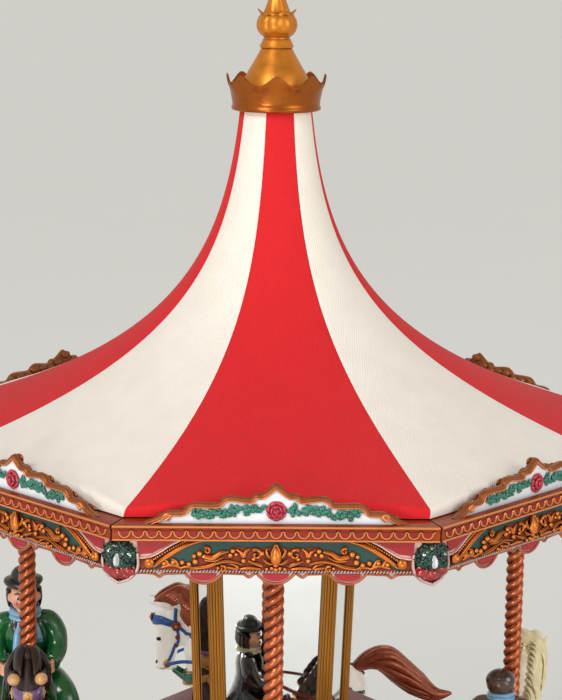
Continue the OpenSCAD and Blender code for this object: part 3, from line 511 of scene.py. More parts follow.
def crest(m):
    """White panel with a holly garland and a rose, inside a wavy copper bead."""
    right = spline(CREST, 90)
    outline = np.concatenate([right, right[-2::-1] * (-1, 1)])
    m.plate(outline * (0.985, 0.96), -134.6, -136.5, "panel_white")
    m.plate(outline * (0.985, 0.96), -133.7, -134.7, "crest_copper")
    path = np.stack([outline[:, 0], np.full(len(outline), -135.7), outline[:, 1] - 0.65], 1)
    m.tube(path, 1.0, "crest_copper", flat=1.6, sides=12)
    path[:, 1] = -137.1
    m.tube(path - (0, 0, 0.62), 0.36, "copper", sides=8)
    for s in (-1, 1):
        hook = [(s * 38.5, -136.8, 1.4), (s * 37.2, -137, 2.6), (s * 38.4, -137.1, 3.4),
                (s * 39.6, -137, 2.5), (s * 38.9, -136.8, 1.7)]
        m.tube(spline(hook, 14), np.linspace(0.8, 0.3, 14), "copper")
    rnd = random.Random(4)
    for s in (-1, 1):
        for k in range(72):
            x = 5 + 24.5 * k / 71
            z = float(np.interp(x, [5, 10, 16, 23, 30], [5.2, 5.0, 4.6, 3.1, 3.9]))
            a = rnd.uniform(0, TAU)
            size = rnd.uniform(1.6, 2.8) * (1 - 0.25 * (x > 28))
            c = np.array([s * x, 0, z + rnd.uniform(-1.1, 1.1)])
            tip = np.array([cos(a), 0, 0.7 * sin(a)]) * size
            y = -136.7 - rnd.uniform(0, 0.5)
            path = [c + (0, y, 0), c + tip * 0.5 + (0, y - 0.3, 0), c + tip + (0, y, 0)]
            m.tube(spline(path, 6), np.array([0.2, 0.6, 0.8, 0.72, 0.5, 0.08]), "leaf_green",
                   flat=0.45, sides=6)
    for count, reach, size, y in ((7, 2.9, 1.5, -137.0), (5, 1.7, 1.3, -137.9), (3, 0.7, 0.9, -138.5)):
        for k in range(count):
            a = TAU * k / count + reach
            lean = Matrix.Rotation(-a, 3, "Y") @ Matrix.Rotation(0.5, 3, "Z")
            m.ball((reach * cos(a), y, 4.7 + reach * sin(a)), (size * 0.55, 0.6, size),
                   "rose", 5, 8, lean)
    m.ball((0, -138.8, 4.7), (0.6, 0.5, 0.6), "rose")
    rise = lambda x: float(np.interp(abs(x), [q[0] for q in CREST[::-1]], [q[1] for q in CREST[::-1]]))
    for k in range(19):
        x = 4.4 * (k - 9)
        m.ball((x, -133.5, rise(x) - 1.7), (2.5, 0.9, 1.7), "crest_copper", 5, 8)
        m.ball((x + 2, -133.6, rise(x) * 0.45), (1.8, 0.7, 1.3), "crest_copper", 4, 8)


# Gold strokes of the frieze, right half: points (x, z), half widths at start and end
STROKES = [
    ([(43.2, -16.2), (37, -11.6), (31, -8.1), (25, -6.4)], 0.95, 0.7),
    ([(16.6, -10.6), (19.4, -11.2), (22.4, -13), (25.8, -12.2)], 0.5, 1.35),
    ([(18.5, -12.6), (21.5, -13.8), (25, -13.6)], 0.4, 0.9),
    ([(11.8, -15.2), (16.5, -14.2), (20.7, -14.8), (24.5, -16.2), (30.3, -16.9)], 0.5, 0.8),
    ([(4.6, -15.9), (7, -15), (9.6, -14)], 0.8, 0.4), ([(5.4, -17), (9, -16.6), (12.6, -17)], 0.6, 0.6),
    ([(11.2, -12.8), (10.8, -10.9), (9.2, -9.5)], 0.9, 0.3),
    ([(11.4, -12.8), (12.4, -10.9), (14.2, -9.8)], 0.9, 0.3),
    ([(13, -17), (14.4, -15.6), (16.4, -15)], 0.6, 0.3),
    ([(13.6, -17.2), (16, -16.6), (18.4, -16.4)], 0.6, 0.3),
    ([(1.2, -13.2), (2.6, -12), (3.4, -10.3), (2.6, -9.4)], 0.9, 0.3),
    ([(1, -15), (2.8, -14.6), (4.4, -13.4)], 0.8, 0.4),
    ([(27.6, -17.2), (31, -16.2), (34, -16.9)], 0.6, 0.4),
    ([(33, -17), (36.5, -15.6), (40.4, -16.6)], 0.5, 0.6),
]
# Its berries, right half: x, z, radius
BERRIES = [(28.4, -14.3, 1.15), (26.9, -11.4, 1.15), (28.8, -12.3, 0.9), (30.6, -15.3, 1.0),
           (33, -14.6, 0.95), (36.2, -14.5, 0.95), (39.4, -15, 0.95), (15.2, -10.3, 1.0),
           (16.1, -11.9, 1.0), (14, -11.6, 0.8), (4.9, -11.2, 1.0), (11.4, -13.9, 0.95),
           (1.4, -16.6, 0.8), (3.2, -16.9, 0.7), (7.9, -13.3, 0.8), (20.4, -16.6, 0.7)]


def frieze(m):
    """Green field under a beaded arch, gold scrollwork, red spandrels and a wavy lower edge."""
    side = lambda d: d * TAN22 - 0.3
    top, low = -5.7, -18.5
    for s in (-1, 1):
        back = [(0, -131.5), (s * side(131.5), -131.5), (s * side(134.3), -134.3), (0, -134.3)]
        m.rings([np.array([(x, y, z) for x, y in back]) for z in (low, top)], "rail_copper")
    arch = spline([(-43.5, -16.8), (-37, -11.6), (-31, -8.1), (-25, -6.2), (0, -5.8), (25, -6.2),
                   (31, -8.1), (37, -11.6), (43.5, -16.8)], 60)
    field = np.concatenate([arch, [(43.5, -18.2), (-43.5, -18.2)]])
    m.plate(field, FACE, FACE - 0.4, "field_green")
    swell = spline([(0, -8.6), (5, -9.5), (10, -9.3), (15, -9.1), (17.5, -11), (21, -11.8), (25, -11),
                    (27.4, -13), (30, -14.7), (38, -16), (42.5, -17)], 60)
    ground = np.concatenate([swell[::-1] * (-1, 1), swell[1:], [(42.5, -18.2), (-42.5, -18.2)]])
    m.plate(ground, FACE - 0.2, FACE - 0.7, "frieze_ground")
    for s in (-1, 1):
        red = np.array([(34.6, -6.2), (49, -6.2), (48.4, -12.0), (43.6, -11.5), (38.6, -8.7)])
        pale = np.array([(33.4, -6.3), (51.4, -6.3), (51.4, -14.2), (45.2, -13.4), (40.8, -10.8), (36, -8)])
        m.plate(red * (s, 1), FACE, FACE - 0.7, "enamel_red")
        m.plate(pale * (s, 1), FACE + 0.1, FACE - 0.4, "pale_line")
        rim = spline([(s * 32.6, -6.3), (s * 37, -8.5), (s * 41.2, -11.3), (s * 45.0, -13.0),
                      (s * 51, -13.2)], 24)
        m.tube([(x, FACE - 0.6, z) for x, z in rim], 0.42, "pale_line", sides=6)
        for k, (x, z) in enumerate(spline([(30.6, -6.5), (36.6, -9.7), (43.4, -14.0)], 19)):
            m.ball((s * x, FACE - 0.7, z), 0.48, "frieze_gold", 4, 6)
        m.ball((s * 44.6, -135.2, -15.0), (2.0, 1.4, 2.0), "frieze_gold", 7, 12)
        m.ball((s * 44.6, -136.3, -15.0), (0.9, 0.8, 0.9), "frieze_gold", 5, 8)
        for points, w0, w1 in STROKES:
            n = 6 * len(points)
            line = spline([(s * x, RELIEF, z) for x, z in points], n)
            t = np.linspace(0, 1, n)
            wide = 1.18 * (w0 + (w1 - w0) * t) * np.sin(np.pi * (0.06 + 0.88 * t)) ** 0.45
            m.tube(line, wide, "frieze_gold", flat=1.1)
            if w0 + w1 > 1.2:
                m.tube(line - (0, 0.75, 0), wide * 0.4, "frieze_gold", flat=1.5, sides=6)
        for x, z, r in BERRIES:
            m.ball((s * x, RELIEF - 0.2, z), (r, r * 1.1, r), "frieze_gold", 5, 8)
        for x, z, r in ((7.0, -11.7, 2.1), (18.7, -17.0, 1.3), (24.3, -10.4, 1.3)):
            spiral = [(s * (x + r * (1 - 0.055 * k) * cos(0.42 * k + 1)), -135.2,
                       z + r * (1 - 0.055 * k) * sin(0.42 * k + 1)) for k in range(17)]
            m.tube(spiral, np.linspace(0.7, 0.38, 17), "frieze_gold", flat=1.3)
        for x in (34.6, 37.8):
            m.tube(spline([(s * x, -135, -15.6), (s * (x + 0.9), -135.4, -14),
                           (s * (x + 2.4), -135, -13.4)], 8), np.linspace(0.8, 0.2, 8), "frieze_gold")
    m.tube(spline([(0, -135, -15.4), (0, -135.6, -11.6), (0, -135, -7.4)], 12),
           np.array([0.7, 1.3, 1.8, 2.1, 2.2, 2.1, 1.85, 1.5, 1.15, 0.8, 0.45, 0.1]), "frieze_gold")
    for s in (-1, 1):
        m.tube(spline([(s * 0.4, -136.9, -13.6), (s * 1.5, -136.6, -11.2), (s * 0.2, -136, -7.8)], 8),
               0.4, "frieze_gold", sides=6)
    m.ball((0, -135.6, -15.2), (1.1, 1, 1.1), "frieze_gold")
    m.ball((0, -135.4, -17.1), (1.0, 0.9, 0.9), "frieze_gold")
    for k in range(-44, 45):
        lean = Matrix.Rotation(0.7, 3, "Y")
        m.ball((1.16 * k, FACE - 0.7, -18.0), (0.4, 0.55, 0.78), "rope_pink", 3, 6, lean)
    edge = [(51.5, -19.0), (47, -18.9), (44, -19.1), (42.6, -19.4), (41, -20.3), (39.4, -19.3), (36, -19.1),
            (32.3, -19.0), (31.2, -20.0), (28.8, -21.9), (25.5, -22.7), (22.2, -21.9), (19.8, -20.0),
            (18.7, -19.0), (13, -19.1), (11.2, -19.3), (9.5, -20.3), (7.8, -19.3), (6.8, -19.0),
            (5.6, -20.2), (3.2, -22.0), (0, -22.7)]
    half = spline(edge, 120)
    low_edge = np.concatenate([half, half[-2::-1] * (-1, 1)])
    skirt = np.concatenate([low_edge, [(-51.5, -18.2), (51.5, -18.2)]])
    m.plate(skirt, FACE + 1, FACE, "rope_pink")
    m.tube([(x, FACE, z) for x, z in low_edge], 0.52, "rose_copper", sides=8)
    for x in (-25.5, 0, 25.5):
        bowl = [(x + 4.7 * cos(a), -19.0 - 2.6 * sin(a)) for a in np.linspace(0, pi, 16)]
        m.plate(bowl, FACE + 0.3, FACE - 0.4, "enamel_red")


def rounding_boards():
    m = Maker()
    rail(m)
    crest(m)
    frieze(m)
    mesh = m.mesh("rounding_board", 50)
    for i in range(8):
        put(f"board_{i + 1}", mesh, "carousel", [f"rounding_board_{i + 1}"],
            turn(45 * i) @ ON_RAIL)


def wreaths():
    """Holly wreath over a red ribbon on each corner, and its lamp."""
    m, lamp = Maker(), Maker()
    rnd = random.Random(11)
    out = 143.2
    m.ball((0, -out, -13.0), (6.4, 3.2, 6.9), "wreath_green", 10, 18)
    bulge = lambda x, z: out + 3.2 * sqrt(max(0.02, 1 - (x / 6.8) ** 2 - ((z + 13.2) / 7.6) ** 2))
    for k in range(190):
        a, rad = rnd.uniform(0, TAU), sqrt(rnd.uniform(0.04, 1))
        x, z = 6.1 * rad * cos(a), -12.2 + 5.9 * rad * sin(a)
        if z < -16.6 or (abs(x) < 1.5 and abs(z + 13.8) < 2.2):
            continue
        b = rnd.uniform(0, TAU)
        dx, dz = 1.4 * cos(b), 1.4 * sin(b)
        path = [(x, -bulge(x, z) + 0.1, z), (x + dx * 0.5, -bulge(x, z) - 0.4, z + dz * 0.5),
                (x + dx, -bulge(x + dx, z + dz) - 0.1, z + dz)]
        # Every fourteenth leaf on the upper part is pale silver: sparkle, and a painted highlight where
        # light falls on top
        look = "glitter" if k % 14 == 0 and z > -12 else "wreath_green"
        m.tube(spline(path, 5), np.array([0.2, 0.5, 0.55, 0.36, 0.06]), look, flat=0.5, sides=5)
    m.ball((0, -out, -17.8), (6.4, 3.0, 4.5), "wreath_red", 10, 18)
    m.ball((0, -out - 1.5, -18.6), (2.5, 2.4, 2.2), "wreath_red", 8, 14)
    for s in (-1, 1):
        lobe = Matrix.Rotation(s * 0.45, 3, "Y")
        m.ball((s * 3.5, -out - 1.3, -17.5), (3.1, 2.0, 1.7), "wreath_red", 8, 14, lobe)
        m.ball((s * 2.2, -out - 1.5, -19.4), (2.2, 1.3, 1.1), "wreath_red", 6, 12, lobe)
        rim = spline([(s * 6.6, -143.4, -11.5), (s * 7.0, -143.6, -15.2), (s * 6.3, -143.9, -18),
                      (s * 3.8, -144.6, -20.9), (0, -145.2, -22.7)], 20)
        m.tube(rim, 0.55, "rope_pink")
        m.tube(rim + (0, 0.7, 0), 0.62, "rose_copper")
    lamp.ball((0, -147.0, -14.0), (0.75, 1.7, 2.1), "lamp", 14, 20)
    lamp.ball((0, -146.2, -14.0), (1.1, 0.9, 2.5), "lamp", 10, 20)
    holly, bulb = m.mesh("corner_wreath", 60), lamp.mesh("lamp")
    for i in range(8):
        at = turn(45 * i + 22.5) @ ON_RAIL
        put(f"wreath_{i + 1}", holly, "carousel", ["corner_wreaths"] if i == 0 else [],
            at)
        put(f"lamp_{i + 1}", bulb, "carousel", ["lamps"] if i == 0 else [], at)


# ---------------------------------------------------------------- crown, finial, column, poles


def crown_and_finial():
    m = Maker()

    def peaks(a, r, z):
        """Soft peaks in the part above the lower lip."""
        rise = np.clip((z - 139) / 7.7, 0, 1) ** 1.6
        return np.full(len(a), r), z - 4.1 * rise * (0.5 - 0.5 * np.cos(8 * a)) ** 0.8

    # The crown band has the darker gold: painted shade on it
    m.lathe([(12, 133.2), (17.0, 133.1), (17.8, 133.4), (18.1, 134.1), (17.9, 134.8), (17.6, 135.2),
             (17.8, 137), (18.2, 139), (18.6, 141), (19.1, 143), (19.6, 145), (20.0, 146.9),
             (20.15, 147.6), (19.9, 147.8), (19.3, 147.6), (18.5, 144.4), (17.8, 141.5), (17.1, 138),
             (16.6, 136.2), (12, 136)], "crown_gold", 160, peaks)
    put("crown_band", m.mesh("crown_band", 50), "carousel", ["crown"], ON_RAIL)
    f = Maker()
    f.lathe([(3, 136.1), (15, 136.1), (14.4, 138.5), (13.7, 142.2), (12.7, 146.1), (11.4, 148.8),
             (9.9, 151.2), (8.5, 153.6), (7.3, 155.8), (6.4, 157.5), (6.15, 157.9), (6.65, 158.1),
             (6.85, 158.7), (6.5, 159.4), (6.0, 160.4), (5.7, 161.2), (5.25, 161.6), (5.2, 162.2)],
            "gold", 64)

    def lobes(a, r, z):
        """Eight swelling lobes between the knob's neck and its petals."""
        swell = sin(pi * min(1, max(0, (z - 162) / 10)))
        return r * (1 - 0.09 * swell * (1 - np.abs(np.cos(4 * a + 0.5)) ** 0.8)), z + 0 * a

    f.lathe([(3, 161.9), (5.3, 162.2), (6.6, 163.2), (7.6, 164.5), (8.15, 166), (8.25, 167.3),
             (7.95, 168.9), (7.3, 170.2), (6.7, 171), (5, 171.8), (3, 172)], "gold", 96, lobes)
    petal = lambda a, r, z: (r + 0.75 * np.cos(6 * a) * (z > 171.2), z + 0.95 * np.cos(6 * a) * (r > 5.6))
    f.lathe([(4, 170.2), (6.7, 170.4), (6.75, 171.0), (6.9, 171.8), (7.05, 172.3), (6.6, 172.45),
             (6.0, 171.9), (4.6, 171.6), (3, 171.6)], "gold", 96, petal)
    bud = lambda a, r, z: (r * (1 + 0.035 * np.cos(6 * a + 0.35 * (z - 173))), z + 0 * a)
    f.lathe([(3, 171.2), (5.1, 171.6), (4.95, 172.6), (4.3, 174.4), (3.65, 176.4), (3.0, 178.6),
             (2.3, 181), (1.6, 183.4), (1.0, 185.6), (0.6, 187.1), (0.15, 187.9)], "gold", 64, bud)
    put("finial_turning", f.mesh("finial_turning", 40), "carousel", ["finial"], ON_RAIL)


def column_posts():
    """Eight flat reeded strips that lean out with the mirrors."""
    m = Maker()
    half, r, cols, reeds = 1.4, 1.8, 112, 14
    across, out = 23.4, 32.1        # a post's middle from the column's axis, at LEAN_Z
    straight = 4 * half
    lap = straight + TAU * r
    section = []
    for k in range(cols):
        s = lap * k / cols
        arc, side = (s, 1) if s < lap / 2 else (s - lap / 2, -1)
        b = max(0.0, arc - 2 * half) / r
        cut = 1 - abs(sin(pi * reeds * k / cols)) ** 0.5
        x = (half - min(arc, 2 * half)) * side
        section.append((x, side, b, cut))

    def ring(depth):
        points = []
        for x, side, b, cut in section:
            rr = r - depth * cut
            points.append((x - side * rr * sin(b), -side * rr * cos(b)))
        return np.array(points)

    plain, reeded = ring(0), ring(0.42)
    stops = [(146.05, plain), (148.4, plain), (148.8, reeded), (256.0, reeded), (256.3, plain),
             (257.4, plain)]
    for q in range(4):
        spin = np.array(turn(90 * q).to_3x3())
        for s in (-1, 1):
            rings = []
            for z, shape in stops:
                lean = (z - LEAN_Z) * COLUMN_LEAN
                rings.append(np.stack([s * (across + lean) + shape[:, 0], -(out + lean) + shape[:, 1],
                                       np.full(cols, z)], 1) @ spin.T)
            m.rings(rings, "post_gold")
    put("reeded_posts", m.mesh("reeded_posts", 60), "carousel", ["column_posts"])


def narrow_mirrors():
    """Bevelled mirror strips across the column's chamfers."""
    m = Maker()
    lean, out = COLUMN_LEAN * sqrt(2), 40.1
    rings = []
    for z in (147.2, 147.6, 256.2, 256.6):
        w = 3.3 if 147.3 < z < 256.4 else 2.9
        outline = [(0.4 - w, 0), (w - 0.4, 0), (w, 0.3), (w, 1.4), (-w, 1.4), (-w, 0.3)]
        rings.append(np.array([(x, back - out - (z - LEAN_Z) * lean, z) for x, back in outline]))
    m.rings(rings, "mirror")
    mesh = m.mesh("narrow_mirror", 20)
    for k in range(4):
        put(f"narrow_mirror_{k + 1}", mesh, "carousel", ["narrow_mirrors"] if k == 0 else [],
            turn(45 + 90 * k))


def poles():
    """Three-strand rope-twist poles, painted shade in their grooves, with a slotted yoke at the foot."""
    m = Maker()
    cols, lead, core, strand_h = 48, 12.2, 2.5, 1.28
    a = np.arange(cols) * TAU / cols
    z0, z1 = 3.0, 222.5
    rings, shaded_groove = [], []
    for z in np.arange(z0, z1 + 0.3, 0.5):
        z = min(z, z1)
        strand = np.abs(np.cos(1.5 * (a - TAU * z / lead)))
        r = core + strand_h * strand ** 0.7
        shaded_groove += (strand < 0.3).tolist()
        rings.append(np.stack([POLE_CIRCLE + r * np.cos(a), r * np.sin(a), np.full(cols, z)], 1))
    m.rings(rings, "pole_copper")
    # Faces in the grooves between the strands get near-black copper: painted shade
    m.looks[:len(shaded_groove) - cols] = ["pole_groove" if dark else "pole_copper" for dark in shaded_groove[:-cols]]
    m.rings([np.array([(98, -4, z), (103, -4, z), (103, 4, z), (98, 4, z)]) for z in (3, 4.5)],
            "pole_copper")
    outer, slot = (16.8, 4.0), (14.3, 1.85)
    loop = lambda w, h, n=10: np.array([(copysign(w - h, cos(b)) + h * cos(b),
                                         h * sin(b)) for b in (np.arange(4 * n) + 0.5) * TAU / (4 * n)])
    big, small = loop(*outer), loop(*slot)
    m.rings([np.stack([np.full(len(q), x), q[:, 0], q[:, 1]], 1)
             for x, q in ((98, big), (101, big), (101, small), (98, small))], "pole_copper", loop=True)
    mesh = m.mesh("rope_pole", 70)
    for i in range(1, 5):
        at = turn(90 * (i - 2)) @ Matrix.Translation((0, 0, YOKE_Z[i] * MM))
        put(f"rope_pole_{i}", mesh, f"rider_pole_{i}", [f"pole_{i}"], at)


# ---------------------------------------------------------------- horses and riders


def fuse(m, name, look, voxel=0.6, rounds=5):
    """One smooth skin over a maker's overlapping shapes."""
    obj = bpy.data.objects.new(name, m.mesh(name))
    bpy.context.scene.collection.objects.link(obj)
    remesh = obj.modifiers.new("remesh", "REMESH")
    remesh.mode, remesh.voxel_size = "VOXEL", voxel * MM
    smooth = obj.modifiers.new("smooth", "SMOOTH")
    smooth.factor, smooth.iterations = 0.5, rounds
    graph = bpy.context.evaluated_depsgraph_get()
    me = bpy.data.meshes.new_from_object(obj.evaluated_get(graph))
    bpy.data.objects.remove(obj)
    me.name = name
    me.materials.clear()
    me.materials.append(FINISH[look])
    me.shade_smooth()
    return me


def skin_of(mesh):
    """Ray target of a mesh, in millimetres."""
    return BVHTree.FromPolygons([v.co / MM for v in mesh.vertices],
                                [list(p.vertices) for p in mesh.polygons])


STRAP_STEPS = 26


def band(m, skin, centre, axis, width, look, lift=0.6):
    """Girth lying on the skin all round a centre, in the plane across axis."""
    axis, c = Vector(axis).normalized(), Vector(centre)
    e = axis.cross(Vector((0, 1, 0))).normalized()
    f = axis.cross(e)
    points, ups = [], []
    for b in np.linspace(0, TAU, 48, endpoint=False):
        d = e * cos(b) + f * sin(b)
        hit = skin.ray_cast(c, d)[0] or c + d * 5
        points.append(hit + d * 0.2)
        ups.append(d)
    m.tube(points, width, look, up=ups, flat=lift / width, loop=True)


def strap(m, skin, points, width, look, lift=0.6):
    """Strap along points moved onto the skin."""
    path, ups = [], []
    for q in spline(points, STRAP_STEPS):
        hit, normal = skin.find_nearest(Vector(q))[:2]
        path.append(hit + normal * 0.2)
        ups.append(normal)
    m.tube(path, width, look, up=ups, flat=lift / width)


def rosette(m, at, r, look, sideways=1):
    """Flower of six petals facing sideways."""
    for k in range(6):
        a = TAU * k / 6
        m.ball((at[0] + r * 0.6 * cos(a), at[1], at[2] + r * 0.6 * sin(a)),
               (r * 0.5, 0.7, r * 0.5), look, 4, 8)
    m.ball((at[0], at[1] + 0.5 * sideways, at[2]), (r * 0.4, 0.7, r * 0.4), "tack_gold", 4, 8)


LEGS = [  # side, then (x, z, half width) down the leg, then the hoof's end
    (1, [(19, -1, 8.6), (25, -8, 6.4), (31, -12.6, 4.5), (35.6, -15.4, 4.0), (35.4, -19, 2.9),
         (34, -24.5, 2.5), (33, -28, 3.1)], (32.2, -33)),
    (-1, [(19, -1, 8.6), (23.5, -10, 6.4), (27, -17.4, 4.5), (29, -22.6, 4.0), (26.6, -26, 2.9),
          (22.4, -29.6, 2.5), (20.4, -31.6, 3.1)], (16.6, -35.2)),
    (1, [(-35, 0, 11), (-38, -9, 8.4), (-43, -16.5, 5.2), (-46.8, -21.6, 4.1), (-48.6, -26, 2.9),
         (-51, -30.6, 2.6), (-52.4, -33, 3.1)], (-55.6, -37)),
    (-1, [(-33, 0, 11), (-33, -9, 8.4), (-35, -16.5, 5.2), (-38.4, -21.6, 4.1), (-40, -26, 2.9),
          (-41.8, -31, 2.6), (-42.6, -33.6, 3.1)], (-44.6, -38)),
]
# Top of the head and neck, where the mane grows: (x, z)
CREST_LINE = [(44, 50), (40, 51.3), (35.5, 49), (30.5, 44), (25.5, 38), (21, 31), (16.5, 23.5)]


def horse_skin():
    m = Maker()
    y = (0, 1, 0)
    trunk = spline([(-47, 0, 4), (-42, 0, 2), (-33, 0, 1), (-20, 0, -0.8), (-6, 0, -2), (8, 0, -1.4),
                    (20, 0, 0.4), (30, 0, 3), (34, 0, 5)], 40)
    m.tube(trunk, taper([3, 9.5, 13, 12.6, 12.4, 12.8, 13.4, 9.5, 3], 40),
           "hide", up=y, flat=0.86, sides=20)
    m.ball((-36, 0, 2.5), (12, 11.6, 12), "hide", 10, 16)
    m.ball((27, 0, 3), (13.5, 11, 14), "hide", 12, 18)
    neck = spline([(14, 0, 0), (23, 0, 9), (28.5, 0, 19), (30, 0, 29), (34, 0, 37.5), (40.5, 0, 43)], 30)
    m.tube(neck, taper([12.5, 14.4, 12, 9.8, 8.2, 6.4], 30), "hide",
           up=y, flat=0.62, sides=18)
    head = spline([(41, 0, 46.5), (45.4, 0, 42), (47.2, 0, 36), (47.7, 0, 29), (48.7, 0, 21),
                   (49.5, 0, 14)], 30)
    m.tube(head, taper([5.4, 7.0, 7.8, 6.9, 5.5, 4.4], 30), "hide",
           up=y, flat=0.7, sides=18)
    m.ball((42.4, 0, 29.5), (5.6, 4.8, 7), "hide", 10, 14)
    m.ball((50.2, 0, 14.6), (4.3, 3.9, 4.2), "hide", 8, 12)
    m.ball((46.6, 0, 13), (3.3, 3, 2.6), "hide", 8, 12)
    for s in (-1, 1):
        m.ball((51.4, 3.0 * s, 28.4), (2.6, 1.6, 2.4), "hide", 6, 10)
        m.ball((20, 6.6 * s, -1), (8.6, 5.6, 10), "hide", 8, 12)
        m.ball((-35, 6.2 * s, -1), (11, 6.4, 11), "hide", 8, 12)
        ear = spline([(46.5, 4.2 * s, 43.6), (51, 5.6 * s, 45), (57.6, 5.2 * s, 46.2)], 10)
        m.tube(ear, np.array([1.6, 2.0, 2.2, 2.2, 2.1, 1.8, 1.5, 1.2, 0.8, 0.35]), "hide", up=(0, 0, 1),
               flat=0.65, sides=10)
    for s, leg, foot in LEGS:
        line = spline([(x, 6.2 * s, z) for x, z, w in leg], 28)
        m.tube(line, taper([w for x, z, w in leg], 28), "hide", up=y,
               flat=0.86, sides=14)
    return fuse(m, "horse_hide", "hide")


def flow(m, points, wide, look, up, flat=0.6):
    """Lock of hair, thick at its root and pointed at its end."""
    t = np.linspace(0, 1, 18)
    m.tube(spline(points, len(t)), wide * np.sin(np.pi * (0.16 + 0.82 * t ** 0.8)) ** 0.7, look, up=up,
           flat=flat, sides=8)


